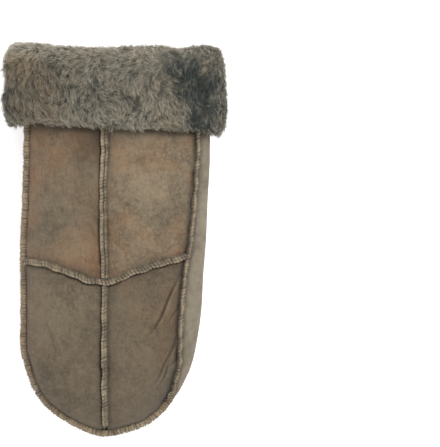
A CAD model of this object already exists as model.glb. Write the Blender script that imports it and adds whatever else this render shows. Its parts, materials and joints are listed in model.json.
# %% [markdown]
# A left-hand sheepskin mitten lies on its palm on a pale floor. Its suede is pieced from panels that are
# whip-stitched together with raised seams, and its cuff is turned back, so that the deep wool of the
# skin's other side shows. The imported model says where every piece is. This script dresses it: each plain
# piece is replaced by one with the folds, seams, stitches and wool of the real thing.

# %% Load the frame
import json
import math

import bpy
import numpy as np
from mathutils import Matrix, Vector

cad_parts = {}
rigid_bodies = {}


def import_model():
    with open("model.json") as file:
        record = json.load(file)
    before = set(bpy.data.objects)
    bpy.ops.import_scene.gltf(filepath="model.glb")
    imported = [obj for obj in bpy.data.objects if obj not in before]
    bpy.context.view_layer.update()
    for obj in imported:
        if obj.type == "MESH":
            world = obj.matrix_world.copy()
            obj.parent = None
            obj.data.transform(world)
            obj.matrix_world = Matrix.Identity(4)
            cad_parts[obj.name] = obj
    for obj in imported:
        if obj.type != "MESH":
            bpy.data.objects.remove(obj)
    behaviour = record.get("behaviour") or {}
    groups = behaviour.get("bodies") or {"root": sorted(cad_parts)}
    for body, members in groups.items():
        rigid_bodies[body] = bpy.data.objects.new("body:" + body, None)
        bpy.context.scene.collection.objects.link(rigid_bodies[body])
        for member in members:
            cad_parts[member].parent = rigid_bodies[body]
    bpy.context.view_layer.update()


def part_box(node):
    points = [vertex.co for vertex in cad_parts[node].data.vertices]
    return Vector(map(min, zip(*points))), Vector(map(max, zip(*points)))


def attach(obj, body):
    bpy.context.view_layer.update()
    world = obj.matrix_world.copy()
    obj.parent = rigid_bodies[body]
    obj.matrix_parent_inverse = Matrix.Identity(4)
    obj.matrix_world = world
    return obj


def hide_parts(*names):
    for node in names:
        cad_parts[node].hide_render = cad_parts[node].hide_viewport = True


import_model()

# %% [markdown]
# The photograph looks straight down on the mitten. Sizes are easier to think about in millimetres, so the
# shapes are worked out in them, from the seam at the finger tip (y = 0), and turned into the model's
# metres at the end.

# %% Places
MM = 0.001
HAND_LENGTH = 263.0
CUFF_CENTRE_X = 0.8
band_low, band_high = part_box("cuff_band")
SHIFT_X = CUFF_CENTRE_X - (band_low[0] + band_high[0]) / 2 / MM
SHIFT_Y = HAND_LENGTH - band_high[1] / MM


def to_model(points):
    """Millimetres from the finger-tip seam, as metres in the model's frame."""
    points = np.asarray(points, float)
    return (points - np.array([SHIFT_X, SHIFT_Y, 0.0])) * MM


print("finger tip at y =", round(-SHIFT_Y * MM, 4), "m")

# %% [markdown]
# The mitten lies in the left half of the picture, so the camera hangs over the middle of the picture and
# not over the mitten. The seam at the finger tip is one known pixel, which says where that middle is. A
# long lens from six metres keeps the sides nearly parallel.

# %% The camera
IMAGE_WIDTH = 440
IMAGE_HEIGHT = 447
TIP_PIXEL_X = 114
TIP_PIXEL_Y = 437
MM_PER_PIXEL = 0.69
SENSOR_WIDTH = 36
CAMERA_DISTANCE = 6.0
MIDDLE_HEIGHT = 0.028


def add_object(name, data):
    """A new object in the scene, at the origin."""
    made = bpy.data.objects.new(name, data)
    bpy.context.scene.collection.objects.link(made)
    return made


camera_data = bpy.data.cameras.new("camera")
camera_data.sensor_fit = "HORIZONTAL"
camera_data.sensor_width = SENSOR_WIDTH
camera_data.lens = SENSOR_WIDTH * CAMERA_DISTANCE / (IMAGE_WIDTH * MM_PER_PIXEL * MM)
camera = add_object("camera", camera_data)
view_x = (IMAGE_WIDTH / 2 - TIP_PIXEL_X) * MM_PER_PIXEL
view_y = (TIP_PIXEL_Y - IMAGE_HEIGHT / 2) * MM_PER_PIXEL
camera.location = to_model([view_x, view_y, 0])
camera.location.z = MIDDLE_HEIGHT + CAMERA_DISTANCE
bpy.context.scene.camera = camera
bpy.context.scene.view_settings.view_transform = "Standard"
print("lens", round(camera_data.lens, 1), "mm")

# %% [markdown]
# The floor is plain and nearly white, and it glows a little, as the light table under such a product
# does, so that its shadows stay pale. It is scenery and no piece of the mitten, so it goes on the stage.

# %% The floor
FLOOR_HALF = 3
FLOOR_WHITE = (0.93, 0.93, 0.93, 1)
FLOOR_GLOW = 0.26
floor_mesh = bpy.data.meshes.new("floor")
floor_corners = [(x * FLOOR_HALF, y * FLOOR_HALF, 0) for x, y in ((-1, -1), (1, -1), (1, 1), (-1, 1))]
floor_mesh.from_pydata(floor_corners, [], [(0, 1, 2, 3)])
floor = add_object("floor", floor_mesh)
floor_finish = bpy.data.materials.new("floor_white")
floor_finish.use_nodes = True
floor_shader = floor_finish.node_tree.nodes["Principled BSDF"]
floor_shader.inputs["Base Color"].default_value = FLOOR_WHITE
floor_shader.inputs["Roughness"].default_value = 0.9
floor_shader.inputs["Emission Color"].default_value = (1, 1, 1, 1)
floor_shader.inputs["Emission Strength"].default_value = FLOOR_GLOW
floor_mesh.materials.append(floor_finish)
print("the floor is", 2 * FLOOR_HALF, "m wide")

# %% [markdown]
# The light in the photograph is even and soft, and a little stronger from the upper right: the strip on
# that side is the palest, and the grooves left of the seams are the darkest. One soft lamp there, a weaker
# one low on the other side and a pale sky do that.

# %% The light
SKY_STRENGTH = 1.15


def soft_lamp(name, place, aim, size, watts):
    data = bpy.data.lights.new(name, "AREA")
    data.shape = "DISK"
    data.size = size
    data.energy = watts
    lamp = add_object(name, data)
    lamp.location = place
    direction = Vector(aim) - Vector(place)
    lamp.rotation_euler = direction.to_track_quat("-Z", "Y").to_euler()


soft_lamp("key_lamp", place=(0.62, 0.66, 1.25), aim=(0, 0, 0), size=0.6, watts=20)
soft_lamp("low_lamp", place=(-1.2, -0.5, 0.9), aim=(0, 0, 0.03), size=1.2, watts=6)
sky = bpy.data.worlds.new("pale_sky")
sky.use_nodes = True
sky.node_tree.nodes["Background"].inputs["Color"].default_value = (1, 1, 1, 1)
sky.node_tree.nodes["Background"].inputs["Strength"].default_value = SKY_STRENGTH
bpy.context.scene.world = sky
print("lamps:", len(bpy.data.lights))

# %% [markdown]
# The hand is one soft form: flat on the ground at the finger tips, rising to the knuckles, with the thumb
# pressed flat under the palm. It is described by sections along the hand, and smooth curves run through
# the columns of the table. Each column is a share of one named size, as a pattern cutter would write it.

# %% Sizes, in millimetres
HALF_WIDTH = 64.0
BACK_HEIGHT = 50.0
THUMB_CLEARANCE = 0.8
PALM_LIFT = 16.5 + THUMB_CLEARANCE
LEATHER = 2.2
GAP = 0.35
SKIN_HALF = LEATHER + GAP
EDGE_LIP = 4.0
THUMB_LIP = 3.0
EDGE_ROUND = 30.0
THUMB_ROUND = 9.0
WRIST_Y = HAND_LENGTH - 28.5
FREE_EDGE_Y = HAND_LENGTH - 43.5
SEAM_DIP = 3.0
DIP_REACH = 7.0
HEM_Y = 214.0
FUR_TILT = 3.5
# A piece stops this far from the middle of the wrist seam, of the thumb's root seam and of the cross seam.
SEAM_SIDE = 1.95
PANEL_END_Y = WRIST_Y - SEAM_SIDE
BAND_START_Y = WRIST_Y + SEAM_SIDE
# No point of the shapes lies lower than this over the ground.
LOWEST = 0.05
print("the panels end", PANEL_END_Y, "mm from the finger tip")

# %% Sections along the hand
SECTION_COLUMNS = "root left right middle back_in palm_in edge side back palm".split()
SECTION_ROWS = np.array([
    (0.0, -0.09, -0.09, -0.085, 0.037, 0.037, 0.12, 0.12, 0.5, 0),
    (0.089, -0.26, 0.086, -0.085, 0.037, 0.037, 0.12, 0.12, 0.51, 0),
    (0.17, -0.453, 0.34, -0.086, 0.037, 0.037, 0.13, 0.13, 0.53, 0),
    (0.235, -0.625, 0.49, -0.09, 0.037, 0.037, 0.145, 0.145, 0.555, 0),
    (0.285, -0.755, 0.588, -0.091, 0.038, 0.038, 0.16, 0.165, 0.58, 0),
    (0.366, -0.895, 0.728, -0.093, 0.088, 0.105, 0.2, 0.21, 0.63, 0),
    (0.431, -0.965, 0.825, -0.096, 0.128, 0.155, 0.245, 0.26, 0.69, 0),
    (0.489, -1.013, 0.879, -0.098, 0.172, 0.18, 0.29, 0.31, 0.75, 0.03),
    (0.587, -1.008, 0.943, -0.094, 0.212, 0.188, 0.37, 0.39, 0.85, 0.45),
    (0.655, -1.012, 0.966, -0.091, 0.2, 0.17, 0.43, 0.46, 0.915, 0.93),
    (0.689, -1.013, 0.976, -0.1, 0.175, 0.158, 0.46, 0.49, 0.945, 1),
    (0.795, -0.986, 1.008, -0.108, 0.141, 0.1, 0.55, 0.58, 0.99, 1),
    (0.889, -0.97, 1.035, -0.091, 0.13, 0.07, 0.62, 0.64, 1, 0.9),
    (1.0, -0.955, 0.995, -0.09, 0.115, 0.06, 0.66, 0.66, 1.03, 0.82),
])
print(len(SECTION_ROWS), "sections, of", len(SECTION_COLUMNS), "numbers each")

# %% Smooth curves through the columns


def through(knots, values):
    """A smooth curve through the values that never overshoots them."""
    knots = np.array(knots, float)
    values = np.array(values, float)
    step = np.diff(values) / np.diff(knots)
    before, after = step[:-1], step[1:]
    same = before * after > 0
    slope = np.concatenate(([step[0]], np.zeros(len(step) - 1), [step[-1]]))
    slope[1:-1][same] = 2 * before[same] * after[same] / (before[same] + after[same])

    def curve(x):
        x = np.asarray(x, float)
        i = np.clip(np.searchsorted(knots, x, side="right") - 1, 0, len(knots) - 2)
        h = knots[i + 1] - knots[i]
        t = (x - knots[i]) / h
        inside = ((2 * t**3 - 3 * t**2 + 1) * values[i] + (t**3 - 2 * t**2 + t) * h * slope[i]
                  + (3 * t**2 - 2 * t**3) * values[i + 1] + (t**3 - t**2) * h * slope[i + 1])
        inside = np.where(t < 0, values[i] + slope[i] * t * h, inside)
        return np.where(t > 1, values[i + 1] + slope[i + 1] * (t - 1) * h, inside)

    return curve


def column(name, unit):
    return through(SECTION_ROWS[:, 0], SECTION_ROWS[:, SECTION_COLUMNS.index(name)] * unit)


left_x = column("left", HALF_WIDTH)
right_x = column("right", HALF_WIDTH)
middle_x = column("middle", HALF_WIDTH)
back_in = column("back_in", HALF_WIDTH)
palm_in = column("palm_in", HALF_WIDTH)
edge_z = column("edge", BACK_HEIGHT)
side_z = column("side", BACK_HEIGHT)
back_z = column("back", BACK_HEIGHT)
palm_z = column("palm", PALM_LIFT)
print("knuckles are", float(back_z(0.8)), "mm above the ground")

# %% [markdown]
# The seams that cross the hand are short runs of points on the pattern. The thumb has two lines: the seam
# at its root, from the wrist down to the crotch, and its own outline round the thumb.

# %% Seam lines
CROSS_SEAM = [(-1.1, 0.466), (-0.733, 0.455), (-0.404, 0.4265), (-0.237, 0.411), (-0.092, 0.408),
              (0.205, 0.4346), (0.582, 0.4627), (1.1, 0.496)]
DIAGONAL_SEAM = [(-1.1, 0.478), (-0.806, 0.4383), (-0.285, 0.3753), (0.022, 0.3307), (0.267, 0.306),
                 (0.388, 0.2887), (0.558, 0.2467), (1.1, 0.19)]
CROTCH_SEAM = [(-1.1, 0.64), (-0.68, 0.62), (1.1, 0.49)]
THUMB_ROOT = [(0.0, 0.9), (-0.05, 0.779), (-0.151, 0.722), (-0.367, 0.664), (-0.62, 0.637)]
THUMB_OUTLINE = [(-0.015, 0.782), (0.157, 0.771), (0.339, 0.724), (0.507, 0.664), (0.658, 0.6155),
                 (0.736, 0.552), (0.719, 0.512), (0.597, 0.474), (0.436, 0.455), (0.249, 0.452),
                 (0.086, 0.4646), (-0.075, 0.496), (-0.307, 0.53), (-0.493, 0.556), (-0.597, 0.584),
                 (-0.64, 0.606)]
JOIN_Y = 0.779 * HAND_LENGTH
PATTERN_UNIT = np.array([HALF_WIDTH, HAND_LENGTH])
print(len(THUMB_OUTLINE), "points round the thumb")

# %% [markdown]
# A curve through such points has to be smooth, as cut leather is. It is worked out finely once, together
# with how far along it each place is, and read by its share of that length afterwards.

# %% Curves through the points


def length_along(points):
    """How far along a run of points each of them is."""
    return np.concatenate(([0], np.cumsum(np.linalg.norm(np.diff(points, axis=0), axis=1))))


def read_at(points, length, wanted):
    """The places on a run of points that are these lengths along it."""
    return np.column_stack([np.interp(wanted, length, points[:, k]) for k in range(points.shape[1])])


def seam_level(rows):
    rows = np.array(rows) * PATTERN_UNIT
    return through(rows[:, 0], rows[:, 1])


def plan_curve(rows):
    """A rounded line through pattern points, read by its share of the length."""
    points = np.array(rows) * PATTERN_UNIT
    padded = np.vstack([points[0], points, points[-1]])
    fine = []
    for i in range(len(points) - 1):
        p0, p1, p2, p3 = padded[i:i + 4]
        t = np.linspace(0, 1, 60, endpoint=False)[:, None]
        bend = (2 * p1 + (p2 - p0) * t + (2 * p0 - 5 * p1 + 4 * p2 - p3) * t**2
                + (3 * p1 - p0 - 3 * p2 + p3) * t**3)
        fine.append(bend / 2)
    fine = np.vstack(fine + [points[-1:]])
    length = length_along(fine)

    def curve(t):
        t = np.asarray(t, float)
        safe = np.clip(t, 0, 1) * length[-1]
        point = np.stack([np.interp(safe, length, fine[:, k]) for k in (0, 1)], -1)
        first = (fine[1] - fine[0]) / (length[1] - length[0])
        last = (fine[-1] - fine[-2]) / (length[-1] - length[-2])
        over = (t - np.clip(t, 0, 1)) * length[-1]
        return point + over[..., None] * np.where((t < 0.5)[..., None], first, last)

    curve.length = length[-1]
    return curve


cross_y = seam_level(CROSS_SEAM)
diagonal_y = seam_level(DIAGONAL_SEAM)
crotch_y = seam_level(CROTCH_SEAM)
thumb_root = plan_curve(THUMB_ROOT)
thumb_outline = plan_curve(THUMB_OUTLINE)
print("thumb outline is", round(thumb_outline.length), "mm long")

# %% [markdown]
# Edges and ridges keep a distance from such a line, and creases and puckers fade with the distance from
# it. So there are two tools: one shifts a line sideways, and one measures how far a place is from a run
# of points, on which side of it, and how far along.

# %% Lines beside lines


def outline(q):
    """The hand's outline from above, from -1 at the mouth's left through 0 at the tip to 1."""
    q = np.asarray(q, float)
    return np.stack([np.where(q < 0, left_x(-q), right_x(q)), HAND_LENGTH * q * q], -1)


def unit(vectors):
    return vectors / np.linalg.norm(vectors, axis=-1, keepdims=True)


def inset(curve, t, distance, step=0.004):
    """The line beside a curve, on its left where the distance is positive."""
    t = np.asarray(t, float)
    tangent = unit(curve(t + step) - curve(t - step))
    normal = np.stack([-tangent[..., 1], tangent[..., 0]], -1)
    return curve(t) + normal * np.asarray(distance, float)[..., None]


def inside_outline(q, distance):
    return inset(outline, q, distance)


print("the outline at the knuckles:", outline([-0.8, 0.8]).round(1).tolist())

# %% Distances to lines


def distance_to(run, only_left=False):
    """Distance from plan points to a run of points, and how far along the run the nearest place is."""
    starts, steps = run[:-1], np.diff(run, axis=0)
    lengths = length_along(run)

    def distance(x, y, with_along=False):
        x, y = np.asarray(x, float), np.asarray(y, float)
        best = np.full(x.shape, np.inf)
        on_left = np.ones(x.shape, bool)
        along = np.zeros(x.shape)
        for i, ((ax, ay), (dx, dy)) in enumerate(zip(starts, steps)):
            px, py = x - ax, y - ay
            t = np.clip((px * dx + py * dy) / (dx * dx + dy * dy), 0, 1)
            square = (px - t * dx) ** 2 + (py - t * dy) ** 2
            closer = square < best
            best = np.where(closer, square, best)
            on_left = np.where(closer, dx * py - dy * px > 0, on_left)
            along = np.where(closer, lengths[i] + t * (lengths[i + 1] - lengths[i]), along)
        far = np.sqrt(best)
        if only_left:
            far = np.where(on_left, far, 0)
        return (far, along, on_left) if with_along else far

    return distance


to_edge = distance_to(inside_outline(np.linspace(-1.1, 1.1, 240), np.full(240, EDGE_LIP + GAP)), True)
to_thumb_edge = distance_to(inset(thumb_outline, np.linspace(0, 1, 120), np.full(120, -(THUMB_LIP + GAP))))
crotch_x = np.linspace(-1.1, -0.6, 9) * HALF_WIDTH
to_crotch = distance_to(np.stack([crotch_x, crotch_y(crotch_x)], -1))
print("from the middle of the hand to its edge:", round(float(to_edge(0.0, 130.0)), 1), "mm")

# %% [markdown]
# From those lines come the heights of the skin. It leaves the seam round the outline steeply and levels
# off, as stuffed skin does, and it sinks into a groove along every seam. Under the hand, the palm has the
# same form, and the thumb lies flat between the palm and the ground.

# %% Soft steps


def clamp01(t):
    return np.clip(t, 0, 1)


def smooth(low, high, t):
    s = clamp01((np.asarray(t, float) - low) / (high - low))
    return s * s * (3 - 2 * s)


def mix(a, b, t):
    return a + (b - a) * t


def root_of(y):
    return np.sqrt(np.maximum(y, 0) / HAND_LENGTH)


def rounded(distance, reach):
    return (1 - (1 - clamp01(distance / reach)) ** 2.2) ** 0.7


print("half way up a rounded edge:", round(float(rounded(0.5, 1.0)), 2))

# %% Heights of the back and the palm


def either_groove(a, b):
    return 1 - (1 - np.exp(-(a / DIP_REACH) ** 2)) * (1 - np.exp(-(b / DIP_REACH) ** 2))


def outline_z(x, root):
    left, right = left_x(root), right_x(root)
    return mix(edge_z(root), side_z(root), clamp01((x - left) / np.maximum(right - left, 1)))


def back_skin(x, y):
    root = root_of(y)
    rise = rounded(to_edge(x, y), EDGE_ROUND)
    base = outline_z(x, root) + SKIN_HALF
    dip = SEAM_DIP * either_groove(x - middle_x(root), y - cross_y(x)) * rise
    return base + (back_z(root) - base) * rise - dip


def palm_smooth(x, y):
    root = root_of(y)
    base = outline_z(x, root) - SKIN_HALF
    return base + (palm_z(root) - base) * rounded(to_edge(x, y), EDGE_ROUND)


def palm_skin(x, y):
    dip = SEAM_DIP * either_groove(y - diagonal_y(x), y - crotch_y(x))
    return palm_smooth(x, y) + dip * rounded(to_edge(x, y), EDGE_ROUND)


print("height over the middle of the hand:", round(float(back_skin(np.array(20.0), np.array(180.0))), 1),
      "mm")

# %% Heights of the thumb
THUMB_MEETS_PALM = 2 * SKIN_HALF + THUMB_CLEARANCE
THUMB_PART, THUMB_DROP, CROTCH_DROP = 12.0, 22.0, 28.0


def thumb_low(x, y):
    below = THUMB_MEETS_PALM * smooth(JOIN_Y + THUMB_PART, JOIN_Y, y) * rounded(to_edge(x, y), 2 * EDGE_LIP)
    away = smooth(JOIN_Y, JOIN_Y - THUMB_DROP, y) * smooth(0, CROTCH_DROP, to_crotch(x, y) - GAP)
    return mix(palm_smooth(x, y) - below, 0, away)


def thumb_seam_z(x, y):
    return (thumb_low(x, y) + palm_smooth(x, y) - THUMB_CLEARANCE) / 2


def thumb_outer_skin(x, y):
    low = thumb_low(x, y)
    beside_thumb = 1 - rounded(to_thumb_edge(x, y), THUMB_ROUND)
    beside_hand = 1 - rounded(to_edge(x, y), 0.8 * EDGE_ROUND)
    to_seam = (thumb_seam_z(x, y) - SKIN_HALF - low) * beside_thumb
    to_seam = to_seam * smooth(JOIN_Y + THUMB_PART, JOIN_Y - LEATHER, y)
    to_outline = (outline_z(x, root_of(y)) - SKIN_HALF - low) * beside_hand
    return np.maximum(0, low + np.maximum(np.maximum(to_seam, to_outline), 0))


def thumb_inner_skin(x, y):
    high = palm_smooth(x, y) - THUMB_CLEARANCE
    drop = (high - thumb_seam_z(x, y) - SKIN_HALF) * (1 - rounded(to_thumb_edge(x, y), THUMB_ROUND))
    return high - np.maximum(0, drop)


middle_of_thumb = np.array(10.0), np.array(150.0)
leaf_gap = thumb_inner_skin(*middle_of_thumb) - thumb_outer_skin(*middle_of_thumb)
print("the thumb's leaves lie", round(float(leaf_gap), 1), "mm apart")

# %% [markdown]
# The materials come before the pieces, since some pieces are made with theirs on. Suede is matt and
# mottled: broad clouds of olive and orange brown, a finer blotching, and a short nap that brightens at
# its edges. The skins also carry two values on their points, how warm and how shaded a place is, which
# the pieces fill in where they are made. Wool is dark at its root and pale at its tip.

# %% Colours, as linear red, green and blue
OLIVE_BROWN = (0.084, 0.067, 0.044, 1)
WARM_BROWN = (0.172, 0.084, 0.038, 1)
PALE_NAP = (0.188, 0.145, 0.096, 1)
DEEP_SHADE = (0.022, 0.018, 0.013, 1)
STRIP_GREY = (0.112, 0.096, 0.070, 1)
RIDGE_BROWN = (0.124, 0.096, 0.064, 1)
THREAD_PALE = (0.125, 0.104, 0.074, 1)
WOOL_ROOT = (0.034, 0.035, 0.029, 1)
WOOL_TIP = (0.293, 0.269, 0.207, 1)
WOOL_PALE_TIP = (0.400, 0.370, 0.298, 1)
WOOL_DARK_TIP = (0.005, 0.017, 0.019, 1)
WOOL_BROWN_TIP = (0.268, 0.200, 0.124, 1)
STRIP_COLOURS = STRIP_GREY, (0.165, 0.128, 0.084, 1), (0.200, 0.172, 0.128, 1)
RIDGE_COLOURS = RIDGE_BROWN, (0.175, 0.115, 0.068, 1), (0.270, 0.216, 0.148, 1)
FLEECE_COLOURS = (0.085, 0.079, 0.066, 1), (0.215, 0.196, 0.160, 1)
THREAD_DARK = (0.050, 0.042, 0.031, 1)
print("the hand's leather is", OLIVE_BROWN[:3])

# %% [markdown]
# A material is a tree of nodes. These short helpers each add one kind of node and give back its socket,
# so that a finish can be written down like a sum.

# %% Helpers for materials


def add_node(tree, kind, inputs=None, **settings):
    """One node with its settings, and its inputs given as values or as the sockets they come from."""
    made = tree.nodes.new(kind)
    for name, value in settings.items():
        setattr(made, name, value)
    for key, value in (inputs or {}).items():
        if isinstance(value, bpy.types.NodeSocket):
            tree.links.new(value, made.inputs[key])
        else:
            made.inputs[key].default_value = value
    return made


def new_material(name, roughness, sheen=0.0, sheen_roughness=0.5):
    finish = bpy.data.materials.new(name)
    finish.use_nodes = True
    shader = finish.node_tree.nodes["Principled BSDF"]
    shader.inputs["Roughness"].default_value = roughness
    shader.inputs["Specular IOR Level"].default_value = 0.15
    shader.inputs["Sheen Weight"].default_value = sheen
    shader.inputs["Sheen Roughness"].default_value = sheen_roughness
    return finish, finish.node_tree, shader


def noise_at(tree, vector, scale, detail=2.0, roughness=0.5):
    settings = {"Vector": vector, "Scale": scale, "Detail": detail, "Roughness": roughness}
    return add_node(tree, "ShaderNodeTexNoise", settings).outputs[0]


def blend_colours(tree, share, first, second):
    made = add_node(tree, "ShaderNodeMix", data_type="RGBA", clamp_factor=True)
    for socket, value in ((made.inputs[0], share), (made.inputs[6], first), (made.inputs[7], second)):
        if isinstance(value, bpy.types.NodeSocket):
            tree.links.new(value, socket)
        else:
            socket.default_value = value
    return made.outputs[2]


def maths(tree, first, second, operation="ADD"):
    return add_node(tree, "ShaderNodeMath", {0: first, 1: second}, operation=operation).outputs[0]


def ramp(tree, value, low, high, to_low=0.0, to_high=1.0):
    names = {"Value": value, "From Min": low, "From Max": high, "To Min": to_low, "To Max": to_high}
    made = add_node(tree, "ShaderNodeMapRange", names, clamp=True, interpolation_type="SMOOTHSTEP")
    return made.outputs[0]


def point_value(tree, name):
    return add_node(tree, "ShaderNodeAttribute", attribute_name=name).outputs["Fac"]


def object_place(tree):
    return add_node(tree, "ShaderNodeTexCoord").outputs["Object"]


def bump(tree, shader, height, distance, strength=1.0, below=None):
    inputs = {"Height": height, "Distance": distance, "Strength": strength}
    if below is not None:
        inputs["Normal"] = below
    made = add_node(tree, "ShaderNodeBump", inputs)
    tree.links.new(made.outputs[0], shader.inputs["Normal"])
    return made.outputs[0]


print("materials so far:", len(bpy.data.materials))

# %% [markdown]
# Suede looks brushed: pale and dark blotches of many sizes lie over each other, the finest as fine as the
# nap. Each layer is one noise that comes in softly between two of its values. Last come the two values
# from the skin's points, and bumps from the same noises.

# %% Suede


def suede(name, main, warm, pale, nap=1.0):
    finish, tree, shader = new_material(name, 0.95, 0.05, 0.6)
    place = object_place(tree)
    clouds = noise_at(tree, place, 24, 3, 0.55)
    broad = noise_at(tree, place, 31, 2, 0.4)
    blotches = noise_at(tree, place, 140, 3, 0.55)
    flecks = noise_at(tree, place, 420, 3, 0.7)
    grain = noise_at(tree, place, 1500, 2, 0.65)
    streaks = add_node(tree, "ShaderNodeMapping", {"Vector": place, "Scale": (700, 190, 500)}).outputs[0]
    brushed = noise_at(tree, streaks, 1.0, 3, 0.6)
    warmth = maths(tree, ramp(tree, clouds, 0.45, 0.70, 0, 0.5), point_value(tree, "warmth"))
    colour = blend_colours(tree, warmth, main, warm)
    # Each layer: its noise, from which value to which it comes in, how strong it is, and its colour.
    layers = [
        (broad, 0.30, 0.70, 0.5, pale),
        (blotches, 0.42, 0.74, 0.42, pale),
        (blotches, 0.50, 0.28, 0.20, DEEP_SHADE),
        (flecks, 0.45, 0.75, 0.55 * nap, pale),
        (flecks, 0.48, 0.25, 0.28 * nap, DEEP_SHADE),
        (brushed, 0.50, 0.28, 0.26 * nap, DEEP_SHADE),
        (grain, 0.45, 0.75, 0.5 * nap, pale),
    ]
    for noise, low, high, strength, tint in layers:
        colour = blend_colours(tree, ramp(tree, noise, low, high, 0, strength), colour, tint)
    paler = maths(tree, point_value(tree, "shaded"), -1.0, "MULTIPLY")
    colour = blend_colours(tree, paler, colour, pale)
    colour = blend_colours(tree, point_value(tree, "shaded"), colour, DEEP_SHADE)
    tree.links.new(colour, shader.inputs["Base Color"])
    soft = bump(tree, shader, blotches, 0.0012, 0.4)
    soft = bump(tree, shader, flecks, 0.0006, 0.5 * nap, soft)
    bump(tree, shader, grain, 0.00025, 0.5 * nap, soft)
    return finish


suede_hand = suede("suede_hand", OLIVE_BROWN, WARM_BROWN, PALE_NAP)
suede_strip = suede("suede_strip", *STRIP_COLOURS, nap=0.6)
suede_ridge = suede("suede_ridge", *RIDGE_COLOURS, nap=1.4)
print("suede:", len(suede_hand.node_tree.nodes), "nodes")

# %% Thread and fleece
thread_finish, thread_tree, thread_shader = new_material("thread_waxed", 0.6, 0.1)
thread_place = object_place(thread_tree)
thread_patches = ramp(thread_tree, noise_at(thread_tree, thread_place, 400), 0.35, 0.7)
thread_colour = blend_colours(thread_tree, thread_patches, THREAD_DARK, THREAD_PALE)
thread_tree.links.new(thread_colour, thread_shader.inputs["Base Color"])
bump(thread_tree, thread_shader, noise_at(thread_tree, thread_place, 2500, 2), 0.0001, 0.6)

fleece_finish, fleece_tree, fleece_shader = new_material("fleece_lining", 1.0, 0.3)
fleece_noise = noise_at(fleece_tree, object_place(fleece_tree), 320, 4, 0.7)
fleece_colour = blend_colours(fleece_tree, ramp(fleece_tree, fleece_noise, 0.3, 0.7), *FLEECE_COLOURS)
fleece_tree.links.new(fleece_colour, fleece_shader.inputs["Base Color"])
bump(fleece_tree, fleece_shader, fleece_noise, 0.002, 0.8)
print("thread and fleece:", thread_finish.name, fleece_finish.name)

# %% [markdown]
# A fibre of the wool is dark at its root and pale at its tip. Its points carry how far along it they are,
# a shade of its own, and the tone and the warmth of its place on the cuff.

# %% Wool
FIBRE_CONTRAST = 0.45
ROOT_SHADE = 0.75


def wool(name):
    finish, tree, shader = new_material(name, 0.85, 0.2, 0.5)
    along = point_value(tree, "along")
    own = maths(tree, point_value(tree, "fibre"), FIBRE_CONTRAST, "MULTIPLY")
    tone = maths(tree, point_value(tree, "tone"), own)
    patch = noise_at(tree, object_place(tree), 60, 2)
    browner = maths(tree, ramp(tree, patch, 0.55, 0.78, 0, 0.4), point_value(tree, "warmth"))
    tip = blend_colours(tree, browner, WOOL_TIP, WOOL_BROWN_TIP)
    tip = blend_colours(tree, ramp(tree, tone, 0.0, -0.8), tip, WOOL_PALE_TIP)
    tip = blend_colours(tree, tone, tip, WOOL_DARK_TIP)
    lit = ramp(tree, along, 0.0, 0.85, 1.0 - ROOT_SHADE, 1.0)
    colour = blend_colours(tree, lit, WOOL_ROOT, tip)
    tree.links.new(colour, shader.inputs["Base Color"])
    return finish


wool_strand = wool("wool_strand")
print("materials:", len(bpy.data.materials))

# %% [markdown]
# The pieces are meshes made from points and faces. A piece also carries numbers on its points, such as
# how warm and how shaded it is there, for its material to read. When it is done, it says which body it
# rides on, which plain piece it stands for and which kind of finish it has.

# %% Helpers for meshes


def store(mesh, key, numbers, kind="FLOAT"):
    """Numbers, or vectors, on the points of a mesh."""
    layer = mesh.attributes.new(key, kind, "POINT")
    values = np.asarray(numbers, dtype=np.float32).ravel()
    layer.data.foreach_set("value" if kind == "FLOAT" else "vector", values)


def make_piece(name, points, faces, finishes, finish_of=None, values=None):
    """A mesh object from points in millimetres, with smooth shading and values on its points."""
    mesh = bpy.data.meshes.new(name)
    mesh.from_pydata(to_model(points).tolist(), [], [[int(corner) for corner in face] for face in faces])
    for finish in finishes:
        mesh.materials.append(finish)
    if finish_of is not None:
        mesh.polygons.foreach_set("material_index", np.asarray(finish_of, dtype=np.int32))
    for key, numbers in (values or {}).items():
        store(mesh, key, numbers)
    mesh.shade_smooth()
    mesh.update()
    return add_object(name, mesh)


def settle(piece, slot, *nodes):
    """Says which body the piece rides on, which nodes it stands for and which finish it takes."""
    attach(piece, "root")
    if nodes:
        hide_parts(*nodes)


def triangles(piece):
    piece.data.calc_loop_triangles()
    return len(piece.data.loop_triangles)


print("triangles of the floor:", triangles(floor))

# %% Helpers for grids of points


def grid_normals(grid):
    over_u = np.gradient(grid, axis=0)
    over_v = np.gradient(grid, axis=1)
    normal = np.cross(over_u, over_v)
    return normal / np.maximum(np.linalg.norm(normal, axis=-1, keepdims=True), 1e-9)


def grid_faces(rows, columns, start=0):
    i, j = np.meshgrid(np.arange(rows - 1), np.arange(columns - 1), indexing="ij")
    corner = (start + i * columns + j).ravel()
    return np.stack([corner, corner + columns, corner + columns + 1, corner + 1], -1)


def signed_volume(points, faces):
    """Six times the volume that the faces enclose, negative where they face inwards."""
    fans = [(face[0], face[i], face[i + 1]) for face in faces for i in range(1, len(face) - 1)]
    a, b, c = (points[list(corner)] for corner in zip(*fans))
    return float(np.sum(a * np.cross(b, c)))


def facing_out(points, faces):
    """The faces of a closed shape, each turned round if they face inwards."""
    return [face[::-1] for face in faces] if signed_volume(points, faces) < 0 else faces


def spread(count):
    """Shares from 0 to 1, closer together towards the ends."""
    return (1 - np.cos(np.pi * np.arange(count + 1) / count)) / 2


def packed_at_ends(count, strength=0.6):
    return mix(np.linspace(0, 1, count + 1), spread(count), strength)


print("a grid of 4 by 5 points has", len(grid_faces(4, 5)), "faces")

# %% [markdown]
# A skin is made as a grid of points on its outer face, then thickened inwards to a closed leather wall
# with suede outside and fleece inside. Where the grid folds sharply, as in a corner, its own normals can
# point the wrong way, and the plain outward direction takes their place.

# %% A wall of leather


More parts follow.
